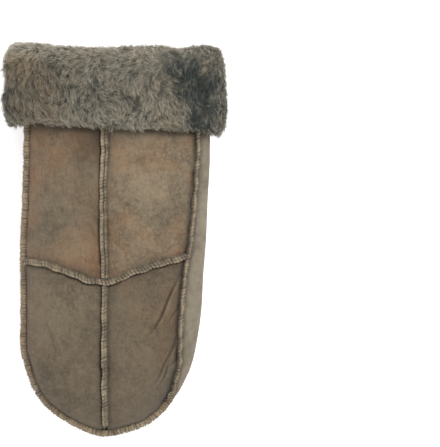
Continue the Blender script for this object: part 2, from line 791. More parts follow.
def leather(name, grid, out, finish, values):
    """A closed wall: the grid is its outer face, and out says roughly where outwards is."""
    rows, columns = grid.shape[:2]
    normal = grid_normals(grid)
    turned = float(np.sum(normal * out)) < 0
    if turned:
        normal = -normal
    folded = np.sum(normal * out, axis=-1, keepdims=True) < 0.1
    normal = np.where(folded, unit(out), normal)
    count = rows * columns
    points = np.vstack([grid.reshape(-1, 3), (grid - LEATHER * normal).reshape(-1, 3)])
    outer = grid_faces(rows, columns)
    inner = grid_faces(rows, columns, count)
    rim = np.concatenate([
        np.arange(columns - 1),
        columns - 1 + columns * np.arange(rows - 1),
        count - 1 - np.arange(columns - 1),
        columns * np.arange(rows - 1, 0, -1),
    ])
    after = np.roll(rim, -1)
    edge = np.stack([rim, after, after + count, rim + count], -1)
    if turned:
        outer, edge = outer[:, ::-1], edge[:, ::-1]
    else:
        inner = inner[:, ::-1]
    faces = np.vstack([outer, inner, edge])
    finish_of = np.concatenate([np.zeros(len(outer)), np.ones(len(inner)), np.zeros(len(edge))])
    doubled = {key: np.tile(np.asarray(numbers, float).ravel(), 2) for key, numbers in values.items()}
    return make_piece(name, points, faces, [finish, fleece_finish], finish_of, doubled)


print("a wall of leather is", LEATHER, "mm thick")

# %% [markdown]
# Nothing on a sewn thing is quite even, but a render has to come out the same each time. So unevenness is
# a sum of sine waves whose directions, lengths and phases are drawn at random from a fixed seed.

# %% Uneven fields


def waves(x, y, seed, longest, shortest, count=7):
    """An uneven field of about -1 to 1: sine waves in fixed random directions."""
    random = np.random.default_rng(seed)
    total = 0.0
    for angle, length, phase in random.uniform(0, 1, (count, 3)):
        turn = 2 * math.pi * angle
        across = x * math.cos(turn) + y * math.sin(turn)
        total = total + np.sin(2 * math.pi * (across / mix(shortest, longest, length) + phase))
    return total / math.sqrt(count) / 1.3


def waves_along(run, seed, longest, shortest, count=7):
    """The same along a line, from how far along it the places are."""
    return waves(run, 0 * run, seed, longest, shortest, count)


print("waves at three places:", waves_along(np.array([0.0, 5.0, 10.0]), 1, 20, 10).round(2).tolist())

# %% [markdown]
# A panel is a square of cloth in the pattern maker's sense: two side lines, and a seam above and below
# that cuts them off. Its grid runs straight across from side to side, and is shifted so that its ends
# follow the seams.

# %% Where lines cross
CROSSING_STEPS = 40


def crossing(side, level, low=0.05, high=1.05):
    """Where a side curve, read by its parameter, crosses a seam that is read across the hand."""
    def above(t):
        x, y = side(np.array(t))
        return float(y - level(x))
    rising = above(high) > above(low)
    for _ in range(CROSSING_STEPS):
        middle = (low + high) / 2
        if (above(middle) > 0) == rising:
            high = middle
        else:
            low = middle
    return (low + high) / 2


print("the cross seam meets the middle at y =", round(float(cross_y(-6.0)), 1), "mm")

# %% Plans of the panels


def plan_between(left, right, above, below, ends=None):
    l0, r0 = crossing(left, above), crossing(right, above)
    l1, r1 = (crossing(left, below), crossing(right, below)) if below else ends

    def straight(u, v):
        return mix(left(mix(l0, l1, v)), right(mix(r0, r1, v)), u[..., None])

    def plan(u, v):
        point = straight(u, v)
        first = straight(u, np.zeros_like(v))
        shift = (1 - v) * (above(first[..., 0]) - first[..., 1])
        if below:
            last = straight(u, np.ones_like(v))
            shift = shift + v * (below(last[..., 0]) - last[..., 1])
        return point[..., 0], point[..., 1] + shift

    return plan


def beside(seam, distance):
    return lambda x: seam(x) + distance * np.hypot(1, seam(x + 0.5) - seam(x - 0.5))


def wrist_below(x):
    return PANEL_END_Y + 0 * x


PANEL_SIDE = 0.9
RIM_INSET = EDGE_LIP - 0.2
TIP_CORNER = 3.0


def left_side(root):
    return inside_outline(-np.asarray(root), RIM_INSET)


def middle_side(offset):
    return lambda root: np.stack([middle_x(root) + offset, HAND_LENGTH * np.asarray(root) ** 2], -1)


def back_strip_seam(root, offset=0.0):
    return inside_outline(root, back_in(root) + offset)


def palm_strip_seam(root, offset=0.0):
    return inside_outline(root, palm_in(root) + offset)


def back_strip_side(root):
    return back_strip_seam(root, PANEL_SIDE)


def palm_strip_side(root):
    return palm_strip_seam(root, PANEL_SIDE)


def tip_ends(left, right):
    low, high = 0.005, 0.5
    for _ in range(CROSSING_STEPS):
        middle = (low + high) / 2
        x, y = left(np.array(middle))
        if abs(float(right(root_of(y))[0] - x)) > TIP_CORNER:
            high = middle
        else:
            low = middle
    return high, float(root_of(left(np.array(high))[1]))


print("the tip panels end at", [round(end, 3) for end in tip_ends(left_side, middle_side(-PANEL_SIDE))])

# %% [markdown]
# Where two panels meet, the skin is drawn into the seam: it puckers in short uneven waves along it, and a
# narrow crease runs beside the ridge. So each side of the hand keeps a list of its seam lines.

# %% Seam lines that draw the skin in
roots = np.linspace(0.03, 1.02, 110)
strip_roots_seen = roots[28:]
edge_run = inside_outline(np.linspace(-1, 0.3, 150), EDGE_LIP - 1.6)
across = np.linspace(-1.05, 1.1, 70) * HALF_WIDTH
# Each line: the distance to it, a seed, and how deep the crease is on its left and on its right.
back_lines = {
    "middle": (distance_to(middle_side(0)(roots)), 11, 1.0, 0.4),
    "cross": (distance_to(np.stack([across, cross_y(across)], -1)), 12, 0.3, 1.0),
    "strip": (distance_to(back_strip_seam(strip_roots_seen)), 13, 1.0, 0.3),
    "edge": (distance_to(edge_run), 14, 0.22, 0.22),
}
palm_lines = {
    "diagonal": (distance_to(np.stack([across, diagonal_y(across)], -1)), 21, 0.4, 0.9),
    "crotch": (distance_to(np.stack([across, crotch_y(across)], -1)), 22, 0.4, 0.9),
    "strip": (distance_to(palm_strip_seam(strip_roots_seen)), 23, 0.9, 0.3),
    "edge": (distance_to(edge_run), 24, 0.6, 0.6),
}
print("lines on the back:", ", ".join(back_lines))

# %% [markdown]
# The leather of the real one has its own history: wrinkles near the little finger, where it is bent most,
# warm brown patches, and paler and darker places. They are short lists, read off the photograph by eye.

# %% Wrinkles and marks
# Wrinkles: from and to in millimetres, half width, depth.
BACK_WRINKLES = [
    (45.2, 114.1, 26.8, 72.8, 0.9, 0.8), (40.0, 101.8, 24.1, 69.3, 0.8, 0.7),
    (49.0, 99.0, 36.0, 78.0, 0.9, 0.5), (43.5, 71.1, 27.6, 36.6, 0.9, 0.85),
    (39.1, 56.9, 30.3, 34.9, 0.8, 0.7), (47.0, 64.0, 36.0, 46.0, 0.9, 0.5),
    (-49.0, 83.0, -35.0, 50.0, 0.8, 0.4), (-43.0, 70.0, -40.5, 55.0, 0.8, 0.35),
    (-30.0, 92.0, -24.0, 84.0, 1.2, 0.4), (12.0, 66.0, 20.0, 58.0, 1.1, 0.4),
    (-22.0, 150.0, -12.0, 138.0, 1.4, 0.35), (28.0, 150.0, 40.0, 158.0, 1.5, 0.4),
    (20.0, 132.0, 30.0, 122.0, 1.2, 0.35), (48.0, 140.0, 36.0, 128.0, 1.1, 0.4),
]
# Marks: centre, radius, how warm, how shaded.
BACK_MARKS = [
    (-18.0, 123.0, 20.0, 0.75, 0.0), (-56.0, 205.0, 7.0, 0.7, 0.0), (-55.0, 180.0, 7.0, 0.7, 0.0),
    (-57.0, 150.0, 8.0, 0.6, 0.0), (4.0, 195.0, 8.0, 0.45, 0.0), (52.0, 205.0, 8.0, 0.4, 0.0),
    (44.0, 146.0, 10.0, 0.35, 0.0), (48.0, 96.0, 13.0, 0.6, 0.0), (8.0, 104.0, 10.0, 0.4, 0.0),
    (-50.0, 100.0, 9.0, 0.4, 0.0), (-50.0, 52.0, 9.0, 0.5, 0.0), (24.0, 55.0, 16.0, 0.2, 0.0),
    (46.0, 40.0, 20.0, -0.35, 0.04), (26.0, 20.0, 20.0, -0.35, 0.04), (-15.0, 205.0, 14.0, 0.2, 0.24),
    (-30.0, 60.0, 22.0, -0.4, 0.05), (-20.0, 90.0, 22.0, -0.4, 0.03), (-44.0, 145.0, 12.0, -0.5, 0.02),
    (30.0, 165.0, 14.0, -0.3, -0.10), (44.0, 190.0, 12.0, 0.0, -0.12), (15.0, 170.0, 12.0, 0.0, -0.10),
    (40.0, 75.0, 12.0, 0.2, 0.05), (-56.0, 125.0, 7.0, 0.5, 0.05), (-8.0, 170.0, 7.0, 0.35, 0.06),
    (6.0, 150.0, 8.0, 0.35, 0.0), (-8.0, 205.0, 9.0, 0.1, 0.26), (-38.0, 200.0, 9.0, 0.1, -0.1),
    (-58.0, 168.0, 6.0, 0.5, 0.0), (50.0, 84.0, 8.0, 0.45, 0.05), (34.0, 154.0, 9.0, -0.3, 0.18),
    (20.0, 146.0, 10.0, 0.1, -0.08), (6.0, 186.0, 6.0, 0.3, 0.0), (-20.0, 192.0, 12.0, -0.1, 0.14),
    (-40.0, 38.0, 14.0, -0.2, 0.06), (-22.0, 22.0, 22.0, -0.35, 0.08), (-50.0, 212.0, 6.0, 0.5, 0.05),
    (54.0, 178.0, 5.0, 0.4, 0.0), (47.0, 125.0, 6.0, 0.45, 0.0),
]
PALM_MARKS = [
    (-30.0, 150.0, 22.0, 0.5, 0.0), (25.0, 120.0, 20.0, 0.3, -0.05), (0.0, 60.0, 25.0, 0.2, 0.0),
    (20.0, 195.0, 18.0, 0.4, 0.0), (-40.0, 90.0, 16.0, -0.3, 0.03),
]
print("wrinkles:", len(BACK_WRINKLES), "marks:", len(BACK_MARKS), "and", len(PALM_MARKS))

# %% How the skin is moved
PUCKER = 0.8
PUCKER_REACH = 5.0
CREASE = 1.05
CREASE_AT = 2.3
CREASE_HALF = 1.0


def drawn_in(x, y, lines):
    """How far the seams' puckers and creases move the skin, outwards, in millimetres."""
    move = 0.0
    for distance, seed, left, right in lines.values():
        far, along, on_left = distance(x, y, True)
        strength = np.exp(-far / PUCKER_REACH) * (1 - np.exp(-far / 0.8))
        move = move + PUCKER * strength * waves_along(along, seed, 13, 5.5, 6)
        uneven = np.where(on_left, left, right) * (1 + 0.45 * waves_along(along, seed + 40, 40, 10, 6))
        move = move - CREASE * uneven * np.exp(-(((far - CREASE_AT) / CREASE_HALF) ** 2))
    return move


def wrinkled(x, y, rows):
    """How far wrinkles move the skin, outwards, in millimetres."""
    move = 0.0
    for ax, ay, bx, by, half, depth in rows:
        dx, dy = bx - ax, by - ay
        share = clamp01(((x - ax) * dx + (y - ay) * dy) / (dx * dx + dy * dy))
        bow = 1.2 * np.sin(math.pi * share) + 0.5 * np.sin(9 * share + ax)
        side = (dx * (y - ay) - dy * (x - ax)) / math.hypot(dx, dy) - bow
        beyond = np.hypot(x - ax - share * dx, y - ay - share * dy)
        far = np.where((share > 0) & (share < 1), np.abs(side), beyond)
        fade = np.sin(math.pi * clamp01(share * 0.96 + 0.02)) ** 0.6
        valley = np.exp(-((far / half) ** 2))
        lip = 0.6 * np.exp(-(((side - 1.9 * half) / half) ** 2)) * (far < 8 * half)
        move = move + depth * fade * (lip - valley)
    return move


middle_wrinkle = wrinkled(np.array(36.0), np.array(94.0), BACK_WRINKLES)
print("the longest wrinkle is", round(-float(middle_wrinkle), 2), "mm deep in its middle")

# %% How the skin is coloured
SEAM_SHADE = 0.44


def marked(x, y, rows, lines, wrinkles, base=(0.0, 0.0)):
    """How warm and how shaded the skin is: its own base, its marks, its wrinkles and the seams' creases."""
    warm, shaded = base
    for cx, cy, radius, heat, shade in rows:
        wobble = 1 + 0.25 * waves(x, y, int(abs(cx * 7 + cy)), 30, 12, 4)
        near = np.exp(-(((x - cx) ** 2 + (y - cy) ** 2) / (radius * wobble) ** 2))
        warm = warm + 1.25 * heat * near
        shaded = shaded + shade * near
    shaded = shaded - 0.45 * wrinkled(x, y, wrinkles)
    from_hem = np.maximum(HEM_Y - FUR_TILT * (x - CUFF_CENTRE_X) / HALF_WIDTH - y, 0)
    shaded = shaded + 0.55 * np.exp(-((from_hem / 4.0) ** 2)) + 0.16 * np.exp(-((from_hem / 11.0) ** 2))
    for label, (distance, seed, left, right) in lines.items():
        far, along, on_left = distance(x, y, True)
        if label == "edge":
            rusty = 0.5 * (1 + 0.6 * waves_along(along, seed, 60, 25, 5)) * smooth(30, 90, y)
            warm = warm + rusty * np.exp(-((far / 7.0) ** 2))
        uneven = np.where(on_left, left, right) * (1 + 0.5 * waves_along(along, seed + 60, 45, 9, 7))
        shaded = shaded + SEAM_SHADE * uneven * np.exp(-((np.maximum(far - 1.6, 0) / 1.5) ** 2))
        shaded = shaded + 0.14 * uneven * np.exp(-((far / 7.0) ** 2))
    return {"warmth": warm, "shaded": np.clip(shaded, -0.25, 0.85)}


spot = marked(np.array(-18.0), np.array(123.0), BACK_MARKS, back_lines, BACK_WRINKLES)
print("warmth of the brown patch:", round(float(spot["warmth"]), 2))

# %% The finished surfaces


def back_surface(x, y):
    free = rounded(to_edge(x, y), EDGE_ROUND)
    ripple = 0.9 * waves(x, y, 31, 85, 40) + 0.35 * waves(x, y, 32, 34, 16)
    return back_skin(x, y) + ripple * free + drawn_in(x, y, back_lines) + wrinkled(x, y, BACK_WRINKLES)


def palm_surface(x, y):
    free = rounded(to_edge(x, y), EDGE_ROUND)
    ripple = 0.6 * waves(x, y, 33, 70, 30) + 0.3 * waves(x, y, 34, 30, 15)
    return np.maximum(palm_skin(x, y) + ripple * free - drawn_in(x, y, palm_lines), LOWEST)


print("the back at the knuckles:", round(float(back_surface(np.array(20.0), np.array(180.0))), 1), "mm")

# %% [markdown]
# Each of the four panels of the back was cut from another part of the skin, so each is a little warmer or
# darker than the others all over. Their grids are fine enough for the puckers, and finest at the seams.

# %% The four panels of the back


def panel(name, plan, surface, facing, us, vs, marks, lines, wrinkles=(), base=(0.0, 0.0)):
    u, v = np.meshgrid(us, vs, indexing="ij")
    x, y = plan(u, v)
    grid = np.stack([x, y, surface(x, y)], -1)
    values = marked(x, y, marks, lines, wrinkles, base)
    piece = leather(name, grid, np.array([0, 0, facing]), suede_hand, values)
    settle(piece, "suede", name)
    print(name, triangles(piece), "triangles")


cross_above = beside(cross_y, PANEL_SIDE)
cross_below = beside(cross_y, -PANEL_SIDE)
to_thumb, to_little = middle_side(-PANEL_SIDE), middle_side(PANEL_SIDE)
thumb_ends = tip_ends(left_side, to_thumb)
little_ends = tip_ends(back_strip_side, to_little)[::-1]
back_plans = {
    "back_upper_thumb_side": plan_between(left_side, to_thumb, wrist_below, cross_above),
    "back_upper_finger_side": plan_between(to_little, back_strip_side, wrist_below, cross_above),
    "back_lower_thumb_side": plan_between(left_side, to_thumb, cross_below, None, thumb_ends),
    "back_lower_finger_side": plan_between(to_little, back_strip_side, cross_below, None, little_ends),
}
# How warm and how dark each panel is, and how many steps its grid has across and along.
PANEL_BASES = {
    "back_upper_thumb_side": ((0.14, 0.26), 60, 92),
    "back_upper_finger_side": ((0.0, 0.05), 60, 92),
    "back_lower_thumb_side": ((-0.27, 0.29), 70, 112),
    "back_lower_finger_side": ((-0.08, 0.40), 70, 116),
}
for name, plan in back_plans.items():
    base, wide, long = PANEL_BASES[name]
    panel(name, plan, back_surface, 1, packed_at_ends(wide), packed_at_ends(long), BACK_MARKS, back_lines,
          BACK_WRINKLES, base)

# %% [markdown]
# The side strip bends from the seam on the back round the little-finger side to the seam on the palm. Its
# section is part of an arc between the two seams, bulging to the outline.

# %% An arc between two seams
STRIP_END_SHARE = 0.3
STRIP_BEND = 1.0
ARC_STEPS = 65


def strip_arc(root, turn, trim):
    """Places on the strip, turn running from 0 at the back seam to 1 at the palm seam."""
    top, under, out = back_strip_seam(root), palm_strip_seam(root), inside_outline(root, 0.0)
    top_z = back_skin(top[..., 0], top[..., 1])
    under_z = palm_skin(under[..., 0], under[..., 1])
    angle = STRIP_BEND * (1 - np.linspace(0, 2, ARC_STEPS))
    share = (1 - np.sin(angle) / math.sin(STRIP_BEND)) / 2
    bulge = (np.cos(angle) - math.cos(STRIP_BEND)) / (1 - math.cos(STRIP_BEND))
    rows = []
    for i in range(len(root)):
        plan = mix(mix(top[i], under[i], share[:, None]), out[i], bulge[:, None])
        arc = np.column_stack([plan, mix(top_z[i], under_z[i], share)])
        length = length_along(arc)
        rows.append(read_at(arc, length, mix(trim, length[-1] - trim, turn)))
    return np.array(rows)


def root_at(side, y):
    return crossing(side, lambda x: y + 0 * x, 0.02, 1.05)


strip_top = root_at(lambda root: inside_outline(root, 0.0), PANEL_END_Y)
print("the strip starts at root", round(strip_top, 3))

# %% The side strip
STRIP_TRIM = PANEL_SIDE + 0.3
strip_roots = mix(strip_top, STRIP_END_SHARE + 0.003, np.linspace(0, 1, 171))
strip_grid = strip_arc(strip_roots, packed_at_ends(22, 0.4), STRIP_TRIM)
strip_out = grid_normals(strip_grid)
if strip_out[60, 11, 0] < 0:
    strip_out = -strip_out
strip_y = strip_grid[..., 1]
from_back = np.linalg.norm(strip_grid - strip_grid[:, :1], axis=-1)
from_palm = np.linalg.norm(strip_grid - strip_grid[:, -1:], axis=-1)
strip_move = 0.45 + 0.35 * waves(strip_y, strip_grid[..., 2], 41, 60, 25)
for far, seed in ((from_back, 42), (from_palm, 43)):
    strength = np.exp(-far / 4) * (1 - np.exp(-far / 0.8))
    strip_move = strip_move + 0.4 * strength * waves_along(strip_y, seed, 12, 5, 6)
    strip_move = strip_move - 0.7 * np.exp(-((far / 1.4) ** 2))
strip_move = strip_move * smooth(0, 0.06, strip_roots - STRIP_END_SHARE)[:, None]
strip_grid = strip_grid + strip_out * strip_move[..., None]
strip_shade = 0.4 * np.exp(-((from_back / 2.0) ** 2)) + 0.4 * np.exp(-((from_palm / 2.0) ** 2))
strip_values = {"warmth": 0.3 * waves_along(strip_y, 44, 80, 30),
                "shaded": strip_shade + 0.05 + 0.06 * waves(strip_y, strip_grid[..., 2], 45, 40, 12)}
strip = leather("side_strip", strip_grid, strip_out, suede_strip, strip_values)
settle(strip, "suede", "side_strip")
print("side_strip", triangles(strip), "triangles")

# %% [markdown]
# The palm has three panels, cut by a slanting seam towards the finger tips and by the seam that ends in
# the thumb's crotch. They are made like those of the back, with their outer side down.

# %% The palm
PALM_TIP_ENDS = 0.05, 0.05


def root_seam_side(distance):
    return lambda root: inset(thumb_root, 1 - np.asarray(root), distance, 0.01)


crotch_above, crotch_below = beside(crotch_y, PANEL_SIDE), beside(crotch_y, -PANEL_SIDE)
diagonal_above, diagonal_below = beside(diagonal_y, PANEL_SIDE), beside(diagonal_y, -PANEL_SIDE)
palm_plans = {
    "palm_upper": plan_between(root_seam_side(1.3), palm_strip_side, wrist_below, crotch_above),
    "palm_middle": plan_between(left_side, palm_strip_side, crotch_below, diagonal_above),
    "palm_tip": plan_between(left_side, palm_strip_side, diagonal_below, None, PALM_TIP_ENDS),
}
for name, plan in palm_plans.items():
    panel(name, plan, palm_surface, -1, packed_at_ends(64), packed_at_ends(44), PALM_MARKS, palm_lines)

# %% [markdown]
# The thumb is two leaves of suede, one under the other. The outer leaf starts at the wrist, runs down the
# thumb-side edge of the hand and ends in the thumb's rounded outline over the palm. The inner leaf lies
# between it and the palm.

# %% The plans of the thumb's leaves
ROOT_PART = 0.16
ROOT_END = 0.985
THUMB_SIDE = THUMB_LIP + GAP
join_at = crossing(thumb_root, lambda x: JOIN_Y + 0 * x, 0, 1)
crotch_side = beside(crotch_y, 2.3)
wrist_at = crossing(lambda t: inset(thumb_root, t, -SEAM_SIDE, 0.01), wrist_below, 0, 1)
leaf_start, leaf_end = root_at(left_side, PANEL_END_Y), crossing(left_side, crotch_side, 0.3, 1)


def leaf_rim(v):
    on_root = inset(thumb_root, mix(wrist_at, join_at, clamp01(v / ROOT_PART)), -2.0, 0.01)
    round_thumb = inset(thumb_outline, clamp01((v - ROOT_PART) / (1 - ROOT_PART)), -THUMB_SIDE)
    return np.where((v < ROOT_PART)[..., None], on_root, round_thumb)


def outer_leaf_plan(u, v):
    point = mix(left_side(mix(leaf_start, leaf_end, v)), leaf_rim(v), u[..., None])
    x, y = point[..., 0], point[..., 1]
    bend = 2.5 * np.maximum(0, x - (float(thumb_outline(1.0)[0]) + LEATHER))
    return x, np.maximum(y, crotch_side(x) - bend + THUMB_PART * (1 - v))


def inner_leaf_plan(u, v):
    start = inset(thumb_root, mix(join_at + 0.03, ROOT_END, v), SEAM_SIDE, 0.01)
    end = inset(thumb_outline, mix(0.02, ROOT_END, v), -(THUMB_SIDE + 0.2))
    point = mix(start, end, u[..., None])
    return point[..., 0], point[..., 1]


print("the thumb leaves the palm at", round(float(join_at), 3), "of its root seam")

# %% The two leaves of the thumb
thumb_run = inset(thumb_outline, np.linspace(0, 1, 120), np.full(120, -THUMB_LIP))
thumb_lines = {"edge": (distance_to(thumb_run), 51, 0.5, 0.5)}


def thumb_outer_surface(x, y):
    free = rounded(to_thumb_edge(x, y), THUMB_ROUND) * rounded(to_edge(x, y), EDGE_ROUND)
    ripple = 0.5 * waves(x, y, 52, 50, 22) * free
    return np.maximum(thumb_outer_skin(x, y) + ripple - 0.6 * drawn_in(x, y, thumb_lines), LOWEST)


rows = np.concatenate([np.linspace(0, ROOT_PART, 17)[:-1], mix(ROOT_PART, 1, np.linspace(0, 1, 105))])
panel("thumb_outer_leaf", outer_leaf_plan, thumb_outer_surface, -1, packed_at_ends(44), rows, PALM_MARKS,
      thumb_lines)
panel("thumb_inner_leaf", inner_leaf_plan, thumb_inner_skin, 1, packed_at_ends(26), np.linspace(0, 1, 61),
      PALM_MARKS, thumb_lines)

# %% [markdown]
# Every seam is a raised ridge: the two cut edges stand up side by side and a thread is whipped round them.
# A ridge is swept along the seam with a section that has a notch where the two edges meet and leans to one
# side, so that its raw edge is pale there and the crease under it is dark. It is pinched unevenly at the
# turns of the thread, and it wanders slightly, as hand-guided seams do.

# %% Steps and section of a ridge
STITCH_PITCH = 2.4
EDGE_PITCH = 2.0
SEAM_WIDTH = 4.0
SEAM_RISE = 3.0
SEAM_LEAN = 0.38
SEAM_SLANT = 0.35
EDGE_SLANT = 0.12
RIDGE_STEP = 0.54
RIDGE_FADE = 6.0


def even_steps(points, out, step):
    """The same line with points at even steps along it, its directions and how far along each point is."""
    length = length_along(points)
    count = max(int(round(length[-1] / step)), 4)
    wanted = np.linspace(0, length[-1], count + 1)
    points, out = read_at(points, length, wanted), read_at(out, length, wanted)
    along = unit(np.gradient(points, axis=0))
    out = out - along * np.sum(out * along, axis=1, keepdims=True)
    return points, along, unit(out), wanted


def ridge_section(notch):
    """Angles over a ridge from side to side, and how far across and how high the skin is there."""
    angles = np.linspace(0, math.pi, 15)
    across = np.sign(np.cos(angles)) * np.abs(np.cos(angles)) ** 0.8 / 2
    high = np.sin(angles) ** 0.7 - notch[1] * np.exp(-(((across * 2 - notch[0]) / 0.2) ** 2))
    return angles, across, high


def thread_pinch(run, walked, across, seed, width, slant, pitch):
    """How hard the thread pulls the ridge in: nothing between its turns, most under a tight one."""
    turns_of_thread = math.floor(walked[-1] / pitch)
    phase = turns_of_thread * (walked[:, None] - width * across[None, :] * math.tan(slant)) / walked[-1]
    phase = phase + 0.11 * waves_along(run, seed + 7, 9, 4, 6)[:, None]
    tightness = np.clip(0.8 + 0.8 * waves_along(run, seed + 8, 13, 3, 8), 0.0, 1.6)[:, None]
    return tightness * (0.5 + 0.5 * np.cos(2 * math.pi * phase)) ** 1.7


print("a ridge's section has", len(ridge_section((0.0, 0.1))[0]), "points on the skin")

# %% A ridge
stitch_paths = []


def ridge_shade(angles, across, notch, pale, foot):
    """How dark the leather is over a ridge: dark at its foot and in its notch, pale at its raw edge."""
    raw_edge = 0.18 * np.exp(-(((angles - 1.05) / 0.45) ** 2))
    far_side = 0.12 * np.exp(-(((angles - 2.2) / 0.5) ** 2))
    shade = foot * np.abs(np.cos(angles)) ** 3 - raw_edge + far_side - pale
    return shade + notch[1] * 1.4 * np.exp(-(((across * 2 - notch[0]) / 0.16) ** 2))


def ridge(name, points, out, seed, width=SEAM_WIDTH, rise=SEAM_RISE, sink=1.6, wander=0.3,
          notch=(-0.2, 0.26), pinched=0.24, slant=SEAM_SLANT, lean=SEAM_LEAN, pale=0.0, foot=0.5,
          ticks=0.36, tint=0.0, uneven=0.15, pitch=STITCH_PITCH):
    """Sweeps a ridge along a line, with the directions that are out of the skin there."""
    points, along, out, run = even_steps(np.asarray(points, float), np.asarray(out, float), RIDGE_STEP)
    side = np.cross(along, out)
    left = run[-1] - run
    fading = np.minimum(clamp01(run / RIDGE_FADE + 0.25), clamp01(left / RIDGE_FADE + 0.25))
    points = points + side * (wander * waves_along(run, seed, 30, 9, 6) * fading)[:, None]
    angles, across, high = ridge_section(notch)
    pinch = thread_pinch(run, length_along(points), across, seed, width, slant, pitch)
    swell = 1 + uneven * waves_along(run, seed + 1, 17, 6, 6)[:, None] - pinched * pinch
    tilt = 0.12 * waves_along(run, seed + 2, 23, 8, 6)
    ends = np.sqrt(1 - (1 - np.minimum(clamp01(run / 1.2), clamp01(left / 1.2)) * 0.98) ** 2)
    rings = []
    for i in range(len(run)):
        lift = rise * swell[i] * ends[i] * high
        shift = width * (0.9 + 0.1 * swell[i]) * ends[i] * across + (tilt[i] + lean) * lift
        body = points[i] + side[i] * shift[:, None] + out[i] * lift[:, None]
        low = points[i] - out[i] * sink
        feet = [low - side[i] * 0.3 * width * ends[i], low + side[i] * 0.3 * width * ends[i]]
        rings.append(np.vstack([body, feet]))
    rings = np.array(rings)
    rings[..., 2] = np.maximum(rings[..., 2], LOWEST)
    steps, around = rings.shape[:2]
    faces = grid_faces(steps, around + 1)
    column = faces % (around + 1)
    faces = faces // (around + 1) * around + column % around
    faces = faces.tolist() + [list(range(around))[::-1], list(range((steps - 1) * around, steps * around))]
    flat = rings.reshape(-1, 3)
    over = ridge_shade(angles, across, notch, pale, foot)
    shade = np.tile(np.concatenate([over, [0.7, 0.7]]), (steps, 1))
    shade[:, :len(angles)] += ticks * pinch
    shade = shade + 0.18 * waves_along(run, seed + 5, 12, 3, 8)[:, None]
    warm = np.tile((tint + 0.3 * waves_along(run, seed + 3, 50, 15))[:, None], (1, around))
    values = {"warmth": warm, "shaded": shade}
    piece = make_piece(name, flat, facing_out(flat, faces), [suede_ridge], values=values)
    settle(piece, "seam", name)
    stitch_paths.append((name, points, out))
    print(name, triangles(piece), "triangles")

# %% [markdown]
# The lines of the seams are known from above. A ridge also needs its height and the way out of the skin
# at every place, so both are measured on the height surface that it stands on.

# %% Lines on the skin
SLOPE_STEP = 0.6


def on_surface(plan, surface, facing, ts, lean=None):
    """Places and outward directions along a plan curve on a height surface."""
    point = plan(ts)
    x, y = point[..., 0], point[..., 1]
    z = surface(x, y)
    h = SLOPE_STEP
    dx = (surface(x + h, y) - surface(x - h, y)) / (2 * h)
    dy = (surface(x, y + h) - surface(x, y - h)) / (2 * h)
    out = unit(facing * np.stack([-dx, -dy, np.ones_like(dx)], -1))
    if lean is not None:
        out = out + lean
    return np.stack([x, y, z], -1), out


def across_line(level):
    return lambda x: np.stack([x, level(x)], -1)


def outwards(roots_used, share):
    inner, outer = inside_outline(roots_used, EDGE_LIP), inside_outline(roots_used, 0.0)
    return np.column_stack([unit(outer - inner) * share, np.zeros(len(roots_used))])


def line_across(level, surface, facing, side, far_side, trim=0.0):
    """The line of a seam that crosses the hand from one of its sides to the other."""
    low_x = float(side(crossing(side, level, 0.3, 1))[0])
    high_x = float(far_side(crossing(far_side, level, 0.3, 1))[0]) - trim
    return on_surface(across_line(level), surface, facing, np.linspace(low_x, high_x, 160))


crotch_line = line_across(crotch_y, palm_skin, -1, left_side, palm_strip_side)
print("the crotch seam starts at", crotch_line[0][0].round(1).tolist())

# %% The ridges on the back
CENTER_WIDTH = 5.0
CENTER_RISE = 2.8
MIDDLE_END_Y = 8.0
top_root, end_root = float(root_of(PANEL_END_Y)), float(root_of(MIDDLE_END_Y))
cross_root = crossing(middle_side(0), cross_y)
root_step = SEAM_SIDE / (2 * HAND_LENGTH * cross_root)
upper = on_surface(middle_side(0), back_skin, 1, np.linspace(top_root, cross_root + root_step, 120))
lower = on_surface(middle_side(0), back_skin, 1, np.linspace(cross_root - root_step, end_root, 120))
cross_line = line_across(cross_y, back_skin, 1, left_side, back_strip_seam, 1.2)
ridge("seam_back_center_upper", *upper, 61, width=CENTER_WIDTH, rise=CENTER_RISE, notch=(-0.28, 0.5),
      pinched=0.14, ticks=0.2)
ridge("seam_back_center_lower", *lower, 62, width=3.7)
ridge("seam_back_cross", *cross_line, 63)

# %% The ridges along the side strip and on the palm


def strip_line(seam, surface, facing):
    """The line of one of the strip's seams, from the wrist to where the strip ends."""
    along = np.linspace(root_at(seam, PANEL_END_Y), STRIP_END_SHARE + 0.006, 200)
    return on_surface(seam, surface, facing, along, outwards(along, 0.25))


ridge("seam_strip_back", *strip_line(back_strip_seam, back_skin, 1), 64)
ridge("seam_strip_palm", *strip_line(palm_strip_seam, palm_skin, -1), 65)
diagonal_line = line_across(diagonal_y, palm_skin, -1, left_side, palm_strip_side)
ridge("seam_palm_diagonal", *diagonal_line, 66)
ridge("seam_palm_crotch", *crotch_line, 67)

# %% [markdown]
# The seams round the hand and round the thumb stand out sideways from the edge, and their ridges are what
# the outline shows. The thread on them is finer and sits closer, so they share one set of measures.

# %% The seams round the outlines
EDGE_RISE = EDGE_LIP + 0.6
EDGE_RIDGE = {"width": 2 * SKIN_HALF + GAP, "sink": 0.4, "wander": 0.1, "slant": EDGE_SLANT,
              "pinched": 0.22, "lean": 0.0, "notch": (0.0, 0.1), "pale": 0.24, "foot": 0.30, "ticks": 0.5,
              "tint": 0.50, "uneven": 0.05, "pitch": EDGE_PITCH}


def edge_line(plan, height, ts, lip, turn):
    """A line in from an outline by the lip, and the directions out to the outline."""
    inner, outer = inset(plan, ts, lip * turn), inset(plan, ts, 0.0)
    place = np.column_stack([inner, height(ts)])
    return place, np.column_stack([unit(outer - inner), np.zeros(len(ts))])


def rim_z(q):
    return outline_z(outline(q)[..., 0], np.abs(q))


def thumb_z(t):
    spot = thumb_outline(t)
    return thumb_seam_z(spot[..., 0], spot[..., 1])


